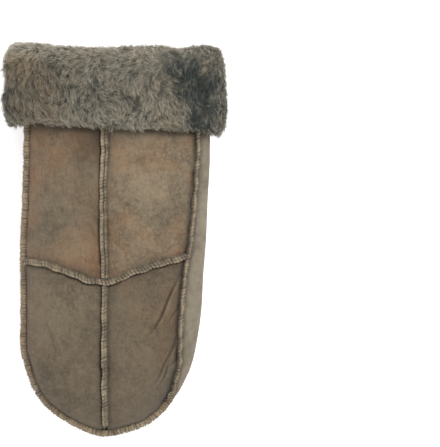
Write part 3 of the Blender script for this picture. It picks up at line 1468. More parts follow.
edge_top = root_at(lambda root: inside_outline(-np.asarray(root), 0.0), PANEL_END_Y)
edge_ts = np.linspace(-edge_top, STRIP_END_SHARE + 0.014, 420)
ridge("seam_edge", *edge_line(outline, rim_z, edge_ts, EDGE_LIP, 1), 71, rise=EDGE_RISE, **EDGE_RIDGE)
thumb_ts = np.linspace(0, 1.03, 247)
thumb_line = edge_line(thumb_outline, thumb_z, thumb_ts, THUMB_LIP, -1)
ridge("seam_thumb_edge", *thumb_line, 72, rise=THUMB_LIP, **EDGE_RIDGE)

# %% [markdown]
# The thumb's root seam reaches from the palm down to the outer leaf beside it, and below the join only
# to the inner leaf.

# %% The thumb's root seam
ROOT_RISE = 1.7
root_join = crossing(thumb_root, lambda x: JOIN_Y + 1.6 + 0 * x, 0, 1)
root_wrist = crossing(thumb_root, lambda x: PANEL_END_Y + 0 * x, 0, 1)
root_ts = np.linspace(root_wrist, ROOT_END, 150)
root_spots = thumb_root(root_ts)
root_high = palm_smooth(root_spots[:, 0], root_spots[:, 1])
root_low = thumb_low(root_spots[:, 0], root_spots[:, 1])
root_z = mix(root_low, root_high - THUMB_CLEARANCE, smooth(root_join - 0.01, root_join + 0.04, root_ts))
root_down = np.tile([0.0, 0.0, -1.0], (len(root_ts), 1))
root_places = np.column_stack([root_spots, root_z])
ridge("seam_thumb_root", root_places, root_down, 73, rise=ROOT_RISE, sink=3.6, lean=0.0)
print("ridges:", len(stitch_paths))

# %% [markdown]
# The thread is whipped round every ridge by Geometry Nodes: the ridge lines become curves, one loop of
# thread is placed at every stitch, turned to the ridge and slanted, and no two are quite alike.

# %% Geometry Nodes helpers


def new_tree(name, numbers, objects=()):
    tree = bpy.data.node_groups.new(name, "GeometryNodeTree")
    tree.interface.new_socket("Geometry", in_out="INPUT", socket_type="NodeSocketGeometry")
    for label, value in numbers.items():
        kind = "NodeSocketInt" if isinstance(value, int) else "NodeSocketFloat"
        tree.interface.new_socket(label, in_out="INPUT", socket_type=kind).default_value = value
    for label in objects:
        tree.interface.new_socket(label, in_out="INPUT", socket_type="NodeSocketObject")
    tree.interface.new_socket("Finish", in_out="INPUT", socket_type="NodeSocketMaterial")
    tree.interface.new_socket("Geometry", in_out="OUTPUT", socket_type="NodeSocketGeometry")
    return tree, tree.nodes.new("NodeGroupInput").outputs


def grown(piece, tree, settings):
    """Runs the tree on the piece with these inputs and keeps the mesh that comes out."""
    modifier = piece.modifiers.new(tree.name, "NODES")
    modifier.node_group = tree
    for item in tree.interface.items_tree:
        if item.in_out == "INPUT" and item.name in settings:
            modifier[item.identifier] = settings[item.name]
    piece.update_tag()
    bpy.context.view_layer.update()
    depsgraph = bpy.context.evaluated_depsgraph_get()
    mesh = bpy.data.meshes.new_from_object(piece.evaluated_get(depsgraph), preserve_all_data_layers=True,
                                           depsgraph=depsgraph)
    piece.modifiers.clear()
    piece.data = mesh


def random_between(tree, low, high, seed):
    made = add_node(tree, "FunctionNodeRandomValue", {2: low, 3: high, 8: seed}, data_type="FLOAT")
    return made.outputs[1]


def named(tree, name, kind="FLOAT"):
    return add_node(tree, "GeometryNodeInputNamedAttribute", {"Name": name}, data_type=kind).outputs[0]


print("trees so far:", len(bpy.data.node_groups))

# %% The stitch tree
stitch_tree, given = new_tree("whip_stitches", {"Pitch": 0.002, "Slant": 0.3, "Unevenness": 0.1, "Seed": 1},
                              ["Loop"])
curves = add_node(stitch_tree, "GeometryNodeMeshToCurve", {"Mesh": given["Geometry"]}).outputs[0]
stepped = add_node(stitch_tree, "GeometryNodeResampleCurve", {"Curve": curves, "Length": given["Pitch"]},
                   mode="LENGTH").outputs[0]
tangent = add_node(stitch_tree, "GeometryNodeInputTangent").outputs[0]
facing = add_node(stitch_tree, "FunctionNodeAxesToRotation",
                  {"Primary Axis": named(stitch_tree, "out", "FLOAT_VECTOR"), "Secondary Axis": tangent},
                  primary_axis="Z", secondary_axis="X").outputs[0]
uneven_low = maths(stitch_tree, given["Unevenness"], -1.6, "MULTIPLY")
uneven_high = maths(stitch_tree, given["Unevenness"], 1.6, "MULTIPLY")
own_slant = random_between(stitch_tree, uneven_low, uneven_high, given["Seed"])
slant = maths(stitch_tree, given["Slant"], own_slant)
turn = add_node(stitch_tree, "ShaderNodeCombineXYZ", {"Z": slant}).outputs[0]
turn = add_node(stitch_tree, "FunctionNodeEulerToRotation", {0: turn}).outputs[0]
turned = add_node(stitch_tree, "FunctionNodeRotateRotation", {0: facing, 1: turn},
                  rotation_space="LOCAL").outputs[0]
next_seed = maths(stitch_tree, given["Seed"], 9.0)
size = random_between(stitch_tree, maths(stitch_tree, 1.0, given["Unevenness"], "SUBTRACT"),
                      maths(stitch_tree, 1.0, given["Unevenness"]), next_seed)
loop = add_node(stitch_tree, "GeometryNodeObjectInfo", {"Object": given["Loop"]}).outputs["Geometry"]
placed = add_node(stitch_tree, "GeometryNodeInstanceOnPoints",
                  {"Points": stepped, "Instance": loop, "Rotation": turned, "Scale": size}).outputs[0]
real = add_node(stitch_tree, "GeometryNodeRealizeInstances", {0: placed}).outputs[0]
finished = add_node(stitch_tree, "GeometryNodeSetMaterial",
                    {"Geometry": real, "Material": given["Finish"]}).outputs[0]
add_node(stitch_tree, "NodeGroupOutput", {"Geometry": finished})
print("stitch tree:", len(stitch_tree.nodes), "nodes")

# %% [markdown]
# One turn of thread is a short tube bent over the ridge. Each kind of ridge has its own width and height,
# so each has its own loop. The loops are only patterns for the tree and aren't put in the scene.

# %% The loops of thread
THREAD = 0.46
EDGE_THREAD = 0.5
THREAD_SIDES = 5


def thread_loop(name, width, rise, thick, lean=0.0):
    """One turn of thread over a ridge: x along the seam, y across it, z out of the skin."""
    angles = np.radians(np.linspace(-8, 188, 9))
    high = np.sign(np.sin(angles)) * np.abs(np.sin(angles)) ** 0.75 * (rise + thick * 0.3)
    path = np.column_stack([0 * angles, np.cos(angles) * (width / 2 + thick * 0.3) - lean * high, high])
    points, along, side, _ = even_steps(path, np.tile([1.0, 0.0, 0.0], (9, 1)), width / 5)
    over = np.cross(along, side)
    around = np.linspace(0, 2 * math.pi, THREAD_SIDES + 1)[:-1]
    ring = [p + thick / 2 * (np.cos(around)[:, None] * a + np.sin(around)[:, None] * b)
            for p, a, b in zip(points, side, over)]
    flat = np.vstack(ring)
    steps = len(points)
    faces = []
    for i in range(0, (steps - 1) * THREAD_SIDES, THREAD_SIDES):
        for j in range(THREAD_SIDES):
            k = (j + 1) % THREAD_SIDES
            faces.append([i + j, i + k, i + THREAD_SIDES + k, i + THREAD_SIDES + j])
    last = (steps - 1) * THREAD_SIDES
    faces += [list(range(THREAD_SIDES))[::-1], [last + j for j in range(THREAD_SIDES)]]
    mesh = bpy.data.meshes.new(name)
    mesh.from_pydata((flat * MM).tolist(), [], facing_out(flat, faces))
    mesh.shade_smooth()
    return bpy.data.objects.new(name, mesh)


EDGE_WIDTH = EDGE_RIDGE["width"]
ridge_loop = thread_loop("ridge_loop", SEAM_WIDTH, SEAM_RISE * 0.86, THREAD, SEAM_LEAN)
wide_loop = thread_loop("wide_loop", CENTER_WIDTH, CENTER_RISE * 0.9, THREAD, SEAM_LEAN)
edge_loop = thread_loop("edge_loop", EDGE_WIDTH, EDGE_RISE * 0.82, EDGE_THREAD)
thumb_loop = thread_loop("thumb_loop", EDGE_WIDTH, THUMB_LIP * 0.82, EDGE_THREAD)
root_loop = thread_loop("root_loop", SEAM_WIDTH, ROOT_RISE * 0.86, THREAD)
print("a loop of thread has", len(ridge_loop.data.polygons), "faces")

# %% The stitches
STITCH_UNEVENNESS = 0.14


def stitches(name, wanted, loop_object, seed, slant, pitch=STITCH_PITCH):
    verts, outs, edges = [], [], []
    for label, points, out in stitch_paths:
        if label not in wanted:
            continue
        start = sum(len(v) for v in verts)
        verts.append(points)
        outs.append(out)
        edges += [(start + i, start + i + 1) for i in range(len(points) - 1)]
    mesh = bpy.data.meshes.new(name)
    mesh.from_pydata(to_model(np.vstack(verts)).tolist(), edges, [])
    store(mesh, "out", np.vstack(outs), "FLOAT_VECTOR")
    piece = add_object(name, mesh)
    grown(piece, stitch_tree, {"Loop": loop_object, "Pitch": pitch * MM, "Slant": slant,
                               "Unevenness": STITCH_UNEVENNESS, "Seed": seed, "Finish": thread_finish})
    settle(piece, "seam")
    print(name, triangles(piece), "triangles")


other_names = ["seam_edge", "seam_thumb_edge", "seam_back_center_upper", "seam_thumb_root"]
ridge_names = [path[0] for path in stitch_paths if path[0] not in other_names]
stitches("stitches_ridges", ridge_names, ridge_loop, 3, SEAM_SLANT)
stitches("stitches_center", ["seam_back_center_upper"], wide_loop, 6, SEAM_SLANT)
stitches("stitches_thumb_root", ["seam_thumb_root"], root_loop, 8, SEAM_SLANT)
stitches("stitches_edge", ["seam_edge"], edge_loop, 4, EDGE_SLANT, EDGE_PITCH)
stitches("stitches_thumb_edge", ["seam_thumb_edge"], thumb_loop, 5, EDGE_SLANT, EDGE_PITCH)

# %% [markdown]
# The cuff is a tube of leather that goes up from the wrist seam, turns over at the mouth and comes back
# down outside, wool side out. Its section round the wrist is a rounded oblong, grown outwards by an offset.

# %% Places round the cuff
CUFF_SQUARENESS = 2.6
wrist_root = float(root_of(WRIST_Y))
CUFF_Z = float(back_z(wrist_root) + palm_z(wrist_root)) / 2
CUFF_HALF_WIDTH = float(right_x(wrist_root) - left_x(wrist_root)) / 2 + 0.4
CUFF_HALF_HEIGHT = float(back_z(wrist_root) - palm_z(wrist_root)) / 2 + 0.4
TURN_SPACE = 2.8


def cuff_place(offset, turn, y):
    angle = 2 * math.pi * turn
    bend_x = np.sign(np.cos(angle)) * np.abs(np.cos(angle)) ** (2 / CUFF_SQUARENESS)
    bend_z = np.sign(np.sin(angle)) * np.abs(np.sin(angle)) ** (2 / CUFF_SQUARENESS)
    x = CUFF_CENTRE_X + (CUFF_HALF_WIDTH + offset) * bend_x
    z = CUFF_Z + (CUFF_HALF_HEIGHT + offset) * bend_z
    return np.stack(np.broadcast_arrays(x, y, z), -1)


def even_turns(count):
    """Turns round the cuff section that are at even distances along it."""
    fine = np.linspace(0, 1, 4001)
    ring = cuff_place(8.0, fine, 0.0)
    length = length_along(ring)
    return np.interp(np.arange(count) / count * length[-1], length, fine)


def ring_faces(sectors, around):
    i, j = np.meshgrid(np.arange(sectors), np.arange(around), indexing="ij")
    after_i, after_j = (i + 1) % sectors, (j + 1) % around
    corners = i * around + j, after_i * around + j, after_i * around + after_j, i * around + after_j
    return np.stack(corners, -1).reshape(-1, 4)


def dense(profile, step):
    """A closed run of points with more of them, at even steps."""
    profile = np.array(profile, float)
    closed = np.vstack([profile, profile[:1]])
    length = length_along(closed)
    return read_at(closed, length, np.arange(0, length[-1], step))


print("the cuff is", round(2 * CUFF_HALF_WIDTH, 1), "by", round(2 * CUFF_HALF_HEIGHT, 1), "mm at the wrist")

# %% The cuff's leather
BAND_SECTORS = 100
WRIST_SECTORS = 160
WRIST_SEAM_HALF = 1.6


def closed_ring(name, profile, sectors, finish, slot):
    """A ring round the cuff. Each point of the profile is an offset and a level."""
    turns = even_turns(sectors)[:, None]
    grid = cuff_place(profile[None, :, 0], turns, profile[None, :, 1])
    flat = grid.reshape(-1, 3)
    faces = facing_out(flat, ring_faces(sectors, len(profile)))
    plain = np.zeros(len(flat))
    piece = make_piece(name, flat, faces, [finish], values={"warmth": plain, "shaded": plain})
    settle(piece, slot, name)
    print(name, triangles(piece), "triangles")


def fold_arc(across, angles):
    """A half circle over the fold, across it from side to side in this diameter."""
    return [(TURN_SPACE / 2 + across / 2 * math.cos(a), FOLD_Y + across / 2 * math.sin(a)) for a in angles]


fold_outer = TURN_SPACE + 2 * LEATHER
FOLD_Y = HAND_LENGTH - fold_outer / 2
turn_angles = np.linspace(math.pi, 0, 13)
band_profile = [(-LEATHER, BAND_START_Y), *fold_arc(fold_outer, turn_angles),
                (fold_outer - LEATHER, FREE_EDGE_Y), (TURN_SPACE, FREE_EDGE_Y),
                *fold_arc(TURN_SPACE, turn_angles[::-1]), (0, BAND_START_Y)]
closed_ring("cuff_band", dense(band_profile, 3.0), BAND_SECTORS, suede_hand, "suede")
half_turns = np.linspace(-math.pi / 2, math.pi / 2, 9)
wrist_profile = [(TURN_SPACE / 2 * math.cos(a), WRIST_Y + WRIST_SEAM_HALF * math.sin(a)) for a in half_turns]
wrist_profile = np.array([(-LEATHER, WRIST_Y - WRIST_SEAM_HALF), *wrist_profile,
                          (-LEATHER, WRIST_Y + WRIST_SEAM_HALF)])
closed_ring("seam_wrist", wrist_profile, WRIST_SECTORS, suede_ridge, "seam")

# %% [markdown]
# The wool grows on a pelt that wraps the turned-back leather and goes a little way into the mouth. Its
# surface is lumpy, with partings where the wool has opened. Each lock is a few curved fibres that meet at
# the tip; it lies along the surface, mostly towards the hand, and swirls.

# %% The pelt's profile
PELT = 8.3
SKIN_SIDE = TURN_SPACE + LEATHER + GAP
SECTORS = 230
# Each point: how far out from the inner leather, and its level along the hand.
woolly = [(-5.2, 241.0), (-5.9, 248.0), (-6.0, 257.0), (-5.3, 261.5), (-3.2, 264.8), (0.2, 266.8),
          (3.0, 266.6), (5.6, 264.8), (7.2, 261.5), (PELT, 256.5), (PELT + 0.2, 240.0), (PELT, 222.0),
          (PELT - 0.3, 217.5), (6.9, HEM_Y + 0.6), (6.1, HEM_Y), (SKIN_SIDE, HEM_Y + 1.5)]
hidden = [(SKIN_SIDE, FOLD_Y), (TURN_SPACE / 2 + 2.8, FOLD_Y + 2.8), (TURN_SPACE / 2, FOLD_Y + 3.95),
          (TURN_SPACE / 2 - 2.8, FOLD_Y + 2.8), (-LEATHER - GAP, FOLD_Y), (-LEATHER - GAP, 239.5)]
woolly_steps = dense(woolly, 1.6)
woolly_steps = woolly_steps[:int(np.argmin(np.linalg.norm(woolly_steps - woolly[-1], axis=1))) + 1]
pelt_profile = np.vstack([woolly_steps, dense(hidden, 3.0)[:26]])
WOOLLY = len(woolly_steps)
print("the pelt's profile:", len(pelt_profile), "points,", WOOLLY, "of them woolly")

# %% [markdown]
# The partings and the darker, paler and browner patches of the wool are read off the photograph by eye.
# They show on the upper side only, since nothing is known of the other.

# %% Partings and patches
# Partings seen from above: from and to in millimetres, half width, how deep, how dark.
PARTINGS = [
    (58.0, 258.0, 61.0, 240.0, 5.0, 3.0, 1.0), (61.0, 240.0, 56.0, 218.0, 5.5, 3.0, 1.0),
    (-22.0, 228.0, -11.0, 243.0, 1.8, 2.2, 0.7), (4.0, 239.0, 20.0, 228.0, 2.2, 2.4, 0.9),
    (-74.0, 246.0, -72.0, 236.0, 3.0, 1.5, 0.5), (36.0, 250.0, 30.0, 236.0, 2.0, 1.6, 0.3),
    (-44.0, 236.0, -36.0, 226.0, 1.8, 1.6, 0.25), (-30.0, 256.0, -18.0, 252.0, 1.8, 1.4, 0.2),
]
# Patches of the wool seen from above: centre, radius, how dark (below 0 is paler), how brown.
WOOL_MARKS = [
    (56.0, 250.0, 15.0, 0.75, 0.0), (60.0, 220.0, 12.0, 0.75, 0.0), (61.0, 236.0, 13.0, 0.6, 0.0),
    (66.0, 247.0, 9.0, 0.3, 0.0), (28.0, 240.0, 7.0, -0.3, 0.0), (27.0, 254.0, 6.0, -0.3, 0.0),
    (-31.0, 246.0, 7.0, 0.2, 0.0), (-36.0, 256.0, 5.0, 0.2, 0.0), (44.0, 253.0, 9.0, 0.6, 0.0),
    (50.0, 236.0, 9.0, 0.3, 0.0), (-28.0, 261.0, 5.0, 0.35, 0.0), (-40.0, 254.0, 4.0, 0.4, 0.0),
    (-34.0, 239.0, 3.5, 0.35, 0.0), (-23.0, 242.0, 3.5, 0.35, 0.0), (-14.0, 241.0, 4.0, 0.7, 0.0),
    (-24.0, 229.0, 4.0, 0.4, 0.0), (9.0, 237.0, 4.0, 0.8, 0.0), (19.0, 229.0, 3.5, 0.8, 0.0),
    (-69.0, 239.0, 4.0, 0.8, 0.0), (-65.0, 228.0, 3.0, 0.5, 0.0), (-70.0, 258.0, 3.5, 0.35, 0.3),
    (22.0, 246.0, 9.0, 0.25, 0.0), (0.0, 254.0, 12.0, 0.15, 0.0), (-62.0, 256.0, 10.0, 0.0, 1.2),
    (-50.0, 248.0, 12.0, 0.1, 0.6), (-45.0, 222.0, 16.0, 0.0, 0.45), (-60.0, 235.0, 12.0, 0.1, 0.4),
    (35.0, 222.0, 10.0, -0.15, 0.4), (-60.0, 266.0, 10.0, -0.3, 0.1), (-20.0, 268.0, 14.0, -0.3, 0.3),
    (20.0, 268.0, 14.0, -0.35, 0.3), (52.0, 270.0, 12.0, -0.3, 0.1), (76.0, 240.0, 4.0, -0.15, 0.0),
    (76.0, 222.0, 5.0, -0.2, 0.0), (-76.0, 250.0, 5.0, -0.2, 0.0), (34.0, 238.0, 8.0, -0.15, 0.0),
]


def wool_patches(points):
    """How dark and how brown the wool is at places on its upper side."""
    x, y = points[..., 0], points[..., 1]
    upper_side = smooth(CUFF_Z - 14, CUFF_Z + 2, points[..., 2])
    dark, brown = 0.0, 0.0
    for cx, cy, radius, darkness, brownness in WOOL_MARKS:
        wobble = radius * (1 + 0.22 * waves(x, y, int(abs(cx * 3 + cy)), 24, 9, 5))
        near = np.exp(-(((x - cx) ** 2 + (y - cy) ** 2) / wobble**2)) * upper_side
        dark = dark + darkness * near
        brown = brown + brownness * near
    return dark, brown


def parted(points):
    """How open the wool is and how dark, at places in millimetres on the upper side."""
    x, y = points[..., 0], points[..., 1]
    upper_side = smooth(CUFF_Z - 8, CUFF_Z + 4, points[..., 2])
    open_share, deep, dark = 0.0, 0.0, 0.0
    for ax, ay, bx, by, half, depth, darkness in PARTINGS:
        dx, dy = bx - ax, by - ay
        share = clamp01(((x - ax) * dx + (y - ay) * dy) / (dx * dx + dy * dy))
        wobble = half * (1 + 0.35 * waves(x, y, int(abs(ax) + 3), 18, 7, 5))
        far = np.hypot(x - ax - share * dx, y - ay - share * dy)
        near = np.exp(-((far / wobble) ** 2)) * upper_side
        open_share = np.maximum(open_share, near)
        deep = np.maximum(deep, depth * near)
        dark = np.maximum(dark, darkness * near)
    return open_share, deep, dark


print("partings:", len(PARTINGS), "patches:", len(WOOL_MARKS))

# %% [markdown]
# The wool is fuller in some places than in others. Broad and fine lumps are laid over the whole pelt, its
# two ends bulge, and the fold at the mouth and the hem each run in a wavy, slightly tilted line.

# %% How full the wool is
ROUND_CUFF = 400.0
ROUNDING = 60
turns = even_turns(SECTORS)
offsets, levels = pelt_profile[:, 0], pelt_profile[:, 1]
around_mm = np.arange(SECTORS) / SECTORS * ROUND_CUFF
ring_u, ring_v = np.meshgrid(around_mm, levels, indexing="ij")
wool_share = np.concatenate([np.ones(WOOLLY), np.zeros(len(pelt_profile) - WOOLLY)])[None, :]
first_guess = cuff_place(offsets[None, :], turns[:, None], levels[None, :])
guess_x = first_guess[..., 0]
outside = offsets[None, :] > 0
open_share, deep, dark = parted(first_guess)
angle_u = ring_u / ROUND_CUFF * 2 * math.pi
round_x, round_y = ROUNDING * np.cos(angle_u), ROUNDING * np.sin(angle_u)
lumps = 0.9 * waves(round_x, ring_v + round_y, 81, 26, 12, 9)
fine_lumps = 0.7 * waves(round_x, ring_v * 1.3 + round_y, 82, 11, 6, 9)
on_right, on_left = smooth(50, 78, guess_x), smooth(-50, -78, guess_x)
fuller = (1.2 + 0.6 * np.exp(-(((ring_v - 240) / 12) ** 2))) * on_right + 0.8 * on_left
fuller = fuller + 2.2 * on_left * np.exp(-(((ring_v - 232) / 8) ** 2))
fuller = fuller + 1.3 * smooth(250, 262, ring_v) * on_left - 0.9 * smooth(246, 262, ring_v) * on_right
swollen = offsets[None, :] + wool_share * (lumps + fine_lumps + fuller * outside - deep)
# The wool stays clear of the leather on both sides of the fold.
least_out = np.where(levels[None, :] > 262, -8.0, SKIN_SIDE + 0.4)
kept_clear = np.where(offsets[None, :] < -1, np.minimum(swollen, -3.6), np.maximum(swollen, least_out))
swollen = np.where(wool_share > 0, kept_clear, offsets[None, :])
print("offsets of the pelt:", round(float(swollen.min()), 1), "to", round(float(swollen.max()), 1), "mm")

# %% The pelt
PELT_LOWEST = 1.6
# How far the fold at the mouth stands up or dips, from left to right.
mouth_line = through([-80, -66, -50, -34, -10, 15, 30, 45, 57, 80],
                     [3.6, 2.9, 1.6, 0.0, -0.7, 0.1, 0.8, -1.8, 0.5, -1.0])
hem_wave = 1.3 * waves(round_x, round_y, 83, 60, 22, 6)
hem_wave = hem_wave - 2.8 * smooth(-50, -74, guess_x) - 1.0 * smooth(56, 74, guess_x)
mouth_wave = 0.5 * waves(round_x, round_y, 84, 80, 30, 6) + mouth_line(guess_x)
shift = hem_wave * smooth(225, 214, ring_v) * outside + mouth_wave * smooth(258, 266, ring_v)
tilt_share = smooth(HAND_LENGTH, FREE_EDGE_Y, ring_v)
tilt = -FUR_TILT * (guess_x - CUFF_CENTRE_X) / CUFF_HALF_WIDTH * tilt_share
pelt_levels = ring_v + (shift + tilt) * wool_share + tilt * (1 - wool_share)
pelt_grid = cuff_place(swollen, turns[:, None], pelt_levels)
pelt_grid[..., 2] = np.maximum(pelt_grid[..., 2], PELT_LOWEST)
pelt_flat = pelt_grid.reshape(-1, 3)
pelt_faces = facing_out(pelt_flat, ring_faces(SECTORS, len(pelt_profile)))
pelt_values = {"along": np.full(len(pelt_flat), 0.2), "tone": np.clip(dark, 0, 1).ravel(),
               "warmth": np.zeros(len(pelt_flat))}
pelt = make_piece("wool_pelt", pelt_flat, pelt_faces, [wool_strand], values=pelt_values)
settle(pelt, "wool", "fur_cuff")
print("pelt", triangles(pelt), "triangles")

# %% [markdown]
# Wool has a lie, like combed hair: here it runs down the cuff towards the hand and swirls. The lie is a
# direction at every point of the pelt. Other values say there how long and how thick the wool is, how
# dark and how brown. Fine tufts make it streaky, and along the mouth it is brushed pale.

# %% How the wool lies
SWIRL = 1.15
woolly_grid, woolly_v = pelt_grid[:, :WOOLLY], ring_v[:, :WOOLLY]
woolly_offsets = offsets[:WOOLLY][None, :]
rounding_x, rounding_y = round_x[:, :WOOLLY], woolly_v + round_y[:, :WOOLLY]
down_profile = np.gradient(woolly_grid, axis=1)
down_profile = unit(np.where(woolly_offsets[..., None] < -3.5, -down_profile, down_profile))
round_cuff = unit(np.roll(woolly_grid, -1, axis=0) - np.roll(woolly_grid, 1, axis=0))
swirl = SWIRL * waves(rounding_x, rounding_y, 85, 48, 18, 8)
swirl = swirl + 1.3 * smooth(246, 262, woolly_v) * (woolly_offsets > 0)
swirl = swirl - 1.2 * smooth(223, 214, woolly_v)
lay = np.cos(swirl)[..., None] * down_profile + np.sin(swirl)[..., None] * round_cuff
print("the wool turns by up to", round(float(np.degrees(np.abs(swirl).max()))), "degrees")

# %% How long, thick, dark and brown it is
length_share = (1.0 - 0.45 * open_share[:, :WOOLLY]) * (1 - 0.3 * smooth(222, 214, woolly_v))
length_share = length_share * (0.75 + 0.25 * (woolly_offsets > 2))
thickness_share = 1.0 - 0.45 * (woolly_offsets < -2) - 0.35 * smooth(12, 4, woolly_grid[..., 2])
patch_dark, patch_brown = wool_patches(woolly_grid)
tone_share = 0.15 + patch_dark + 0.14 * waves(rounding_x, rounding_y, 86, 30, 12, 6)
tufts = waves(1.3 * rounding_x, 0.8 * rounding_y, 87, 9, 4, 9)
tone_share = tone_share + (0.26 + 0.3 * clamp01(patch_dark)) * tufts - 0.12 * smooth(220, 214, woolly_v)
upper_side = smooth(CUFF_Z - 14, CUFF_Z + 6, woolly_grid[..., 2])
brushed_top = smooth(259, 268, woolly_grid[..., 1]) * upper_side
tone_share = np.maximum(tone_share, 0.8 * dark[:, :WOOLLY]) - 0.7 * brushed_top
tone_share = np.clip(tone_share, -0.8, 1.1)
brown_share = 0.2 + patch_brown + 0.2 * waves(rounding_x, rounding_y, 88, 40, 15, 6)
print("tone of the wool:", round(float(tone_share.min()), 2), "to", round(float(tone_share.max()), 2))

# %% [markdown]
# A lock is a few fibres that rise together, wave and bend over to a common tip. Each fibre is a flat strip
# of three faces that ends in a point, because many thousands of them are planted.

# %% One lock, in three forms
STRANDS = 9
FIBRE_REACH = 5.1
FIBRE_HEIGHT = 3.7
FIBRE_WIDTH = 0.2
LOCK_FORMS = 3


def lock_mesh(name, seed):
    """A few fibres that rise, wave together and bend over towards y."""
    random = np.random.default_rng(seed)
    verts, faces, along, fibre = [], [], [], []
    wave, phase = random.uniform(0.4, 0.9), random.uniform(0, 2 * math.pi)
    meet = random.uniform(-0.5, 0.5, 2)
    for _ in range(STRANDS):
        spot = random.uniform(-2.0, 2.0, 2)
        length = FIBRE_REACH * random.uniform(0.6, 1.2)
        rise = FIBRE_HEIGHT * random.uniform(0.6, 1.15)
        own = phase + random.uniform(-0.8, 0.8)
        roll = random.uniform(-0.8, 0.8)
        shade = random.uniform(-1, 1)
        start = len(verts)
        for t, wide in ((0.0, 0.9), (0.36, 1.0), (0.72, 0.75), (1.0, 0.0)):
            x = mix(spot[0], meet[0], 0.4 * t) + wave * t * math.sin(own + 4.0 * t)
            y = mix(spot[1], meet[1], 0.3 * t) + length * t**1.4 + 0.5 * wave * t * math.cos(own + 4.0 * t)
            z = -0.6 + (rise + 0.6) * (1 - (1 - t) ** 1.8) * (1 - 0.25 * t**3)
            half = np.array([math.cos(roll), 0, math.sin(roll)]) * FIBRE_WIDTH / 2 * wide
            place = np.array([x, y, z])
            for point in ([place - half, place + half] if wide else [place]):
                verts.append(point * MM)
                along.append(t)
                fibre.append(shade)
        for k in (start, start + 2):
            faces.append([k, k + 1, k + 3, k + 2])
        faces.append([start + 4, start + 5, start + 6])
    mesh = bpy.data.meshes.new(name)
    mesh.from_pydata([tuple(v) for v in verts], [], faces)
    store(mesh, "along", along)
    store(mesh, "fibre", fibre)
    mesh.shade_smooth()
    return bpy.data.objects.new(name, mesh)


locks = [lock_mesh("lock_" + str(i), 91 + i) for i in range(LOCK_FORMS)]
print("a lock has", len(locks[0].data.polygons), "faces")

# %% [markdown]
# The tree scatters points over the pelt, more where the wool is thick, and plants one of the three locks
# on each. A lock is laid along the lie, shaken a little, scaled by the wool's length there, and given a
# tone of its own.

# %% The wool tree
wool_tree, given = new_tree("wool_locks", {"Density": 400000.0, "Unevenness": 0.25, "Lift": 0.25, "Seed": 1},
                            ["Lock A", "Lock B", "Lock C"])
density = maths(wool_tree, given["Density"], named(wool_tree, "thick"), "MULTIPLY")
scattered = add_node(wool_tree, "GeometryNodeDistributePointsOnFaces",
                     {"Mesh": given["Geometry"], "Density": density, "Seed": given["Seed"]},
                     distribute_method="RANDOM")
wild_low = maths(wool_tree, given["Lift"], -1.0, "MULTIPLY")
jitter = add_node(wool_tree, "ShaderNodeCombineXYZ", {
    "X": random_between(wool_tree, wild_low, given["Lift"], maths(wool_tree, given["Seed"], 11.0)),
    "Y": random_between(wool_tree, wild_low, given["Lift"], maths(wool_tree, given["Seed"], 12.0)),
    "Z": random_between(wool_tree, wild_low, given["Lift"], maths(wool_tree, given["Seed"], 13.0)),
}).outputs[0]
upright = add_node(wool_tree, "ShaderNodeVectorMath", {0: scattered.outputs["Normal"], 1: jitter},
                   operation="ADD").outputs[0]
lying = add_node(wool_tree, "FunctionNodeAxesToRotation",
                 {"Primary Axis": upright, "Secondary Axis": named(wool_tree, "lay", "FLOAT_VECTOR")},
                 primary_axis="Z", secondary_axis="Y").outputs[0]
spin = add_node(wool_tree, "ShaderNodeCombineXYZ", {
    "Z": random_between(wool_tree, -0.5, 0.5, maths(wool_tree, given["Seed"], 14.0))}).outputs[0]
spin = add_node(wool_tree, "FunctionNodeEulerToRotation", {0: spin}).outputs[0]
lying = add_node(wool_tree, "FunctionNodeRotateRotation", {0: lying, 1: spin},
                 rotation_space="LOCAL").outputs[0]
size = random_between(wool_tree, maths(wool_tree, 1.0, given["Unevenness"], "SUBTRACT"),
                      maths(wool_tree, 1.0, given["Unevenness"]), maths(wool_tree, given["Seed"], 15.0))
size = maths(wool_tree, size, named(wool_tree, "long"), "MULTIPLY")
choices = wool_tree.nodes.new("GeometryNodeJoinGeometry")
for label in ("Lock A", "Lock B", "Lock C"):
    lock_in = add_node(wool_tree, "GeometryNodeObjectInfo", {"Object": given[label]},
                       transform_space="ORIGINAL").outputs["Geometry"]
    single = add_node(wool_tree, "GeometryNodeGeometryToInstance", {0: lock_in}).outputs[0]
    wool_tree.links.new(single, choices.inputs[0])
pick = add_node(wool_tree, "FunctionNodeRandomValue", {4: 0, 5: 2, 8: given["Seed"]},
                data_type="INT").outputs[2]
planted = add_node(wool_tree, "GeometryNodeInstanceOnPoints",
                   {"Points": scattered.outputs["Points"], "Instance": choices.outputs[0],
                    "Pick Instance": True, "Instance Index": pick, "Rotation": lying,
                    "Scale": size}).outputs[0]
tone = maths(wool_tree, named(wool_tree, "tone"),
             random_between(wool_tree, -0.32, 0.32, maths(wool_tree, given["Seed"], 16.0)))
toned = add_node(wool_tree, "GeometryNodeStoreNamedAttribute",
                 {"Geometry": planted, "Name": "tone", "Value": tone}, data_type="FLOAT",
                 domain="INSTANCE").outputs[0]
real = add_node(wool_tree, "GeometryNodeRealizeInstances", {0: toned}).outputs[0]
finished = add_node(wool_tree, "GeometryNodeSetMaterial",
                    {"Geometry": real, "Material": given["Finish"]}).outputs[0]
add_node(wool_tree, "NodeGroupOutput", {"Geometry": finished})
print("wool tree:", len(wool_tree.nodes), "nodes")

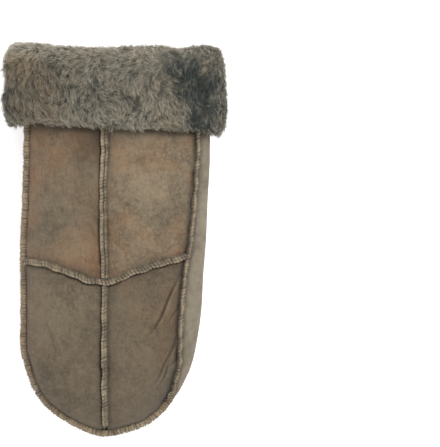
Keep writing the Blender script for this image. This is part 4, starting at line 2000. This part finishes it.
# %% [markdown]
# All the wool in one piece would have too many triangles, so it grows in four quarters of the cuff. No
# fibre may reach under the ground, so the few lowest points are lifted.

# %% The wool, in four quarters of the cuff
WOOL_PIECES = 4
WOOL_DENSITY = 503000.0
WOOL_LOWEST = 0.3 * MM


def wool_quarter(number):
    low = number * SECTORS // WOOL_PIECES
    high = (number + 1) * SECTORS // WOOL_PIECES
    picked = [i % SECTORS for i in range(low, high + 1)]
    patch = pelt_grid[picked][:, :WOOLLY]
    faces = grid_faces(len(picked), WOOLLY)
    normal = grid_normals(patch)
    middle = np.array([CUFF_CENTRE_X, 0, CUFF_Z])
    away = (patch - middle)[:, WOOLLY // 2] * np.array([1, 0, 1])
    if float(np.sum(normal[:, WOOLLY // 2] * away)) < 0:
        faces = faces[:, ::-1]
    name = "wool_locks_" + str(number + 1)
    mesh = bpy.data.meshes.new(name)
    mesh.from_pydata(to_model(patch.reshape(-1, 3)).tolist(), [], faces.tolist())
    for key, field in (("thick", thickness_share), ("long", length_share), ("tone", tone_share),
                       ("warmth", brown_share)):
        store(mesh, key, field[picked])
    store(mesh, "lay", lay[picked], "FLOAT_VECTOR")
    piece = add_object(name, mesh)
    grown(piece, wool_tree, {"Density": WOOL_DENSITY, "Unevenness": 0.24, "Lift": 0.38, "Seed": 7 + number,
                             "Lock A": locks[0], "Lock B": locks[1], "Lock C": locks[2],
                             "Finish": wool_strand})
    places = np.empty(len(piece.data.vertices) * 3, np.float32)
    piece.data.vertices.foreach_get("co", places)
    places = places.reshape(-1, 3)
    places[:, 2] = np.maximum(places[:, 2], WOOL_LOWEST)
    piece.data.vertices.foreach_set("co", places.ravel())
    piece.data.update()
    settle(piece, "wool", "fur_cuff")
    print(name, triangles(piece), "triangles")


for number in range(WOOL_PIECES):
    wool_quarter(number)

# %% [markdown]
# Last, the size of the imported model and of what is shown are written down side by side, and the frame is
# checked.

# %% Sizes and finish
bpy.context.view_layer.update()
total = sum(triangles(piece) for piece in bpy.context.scene.objects if piece.type == "MESH")
print("triangles in the scene:", total)
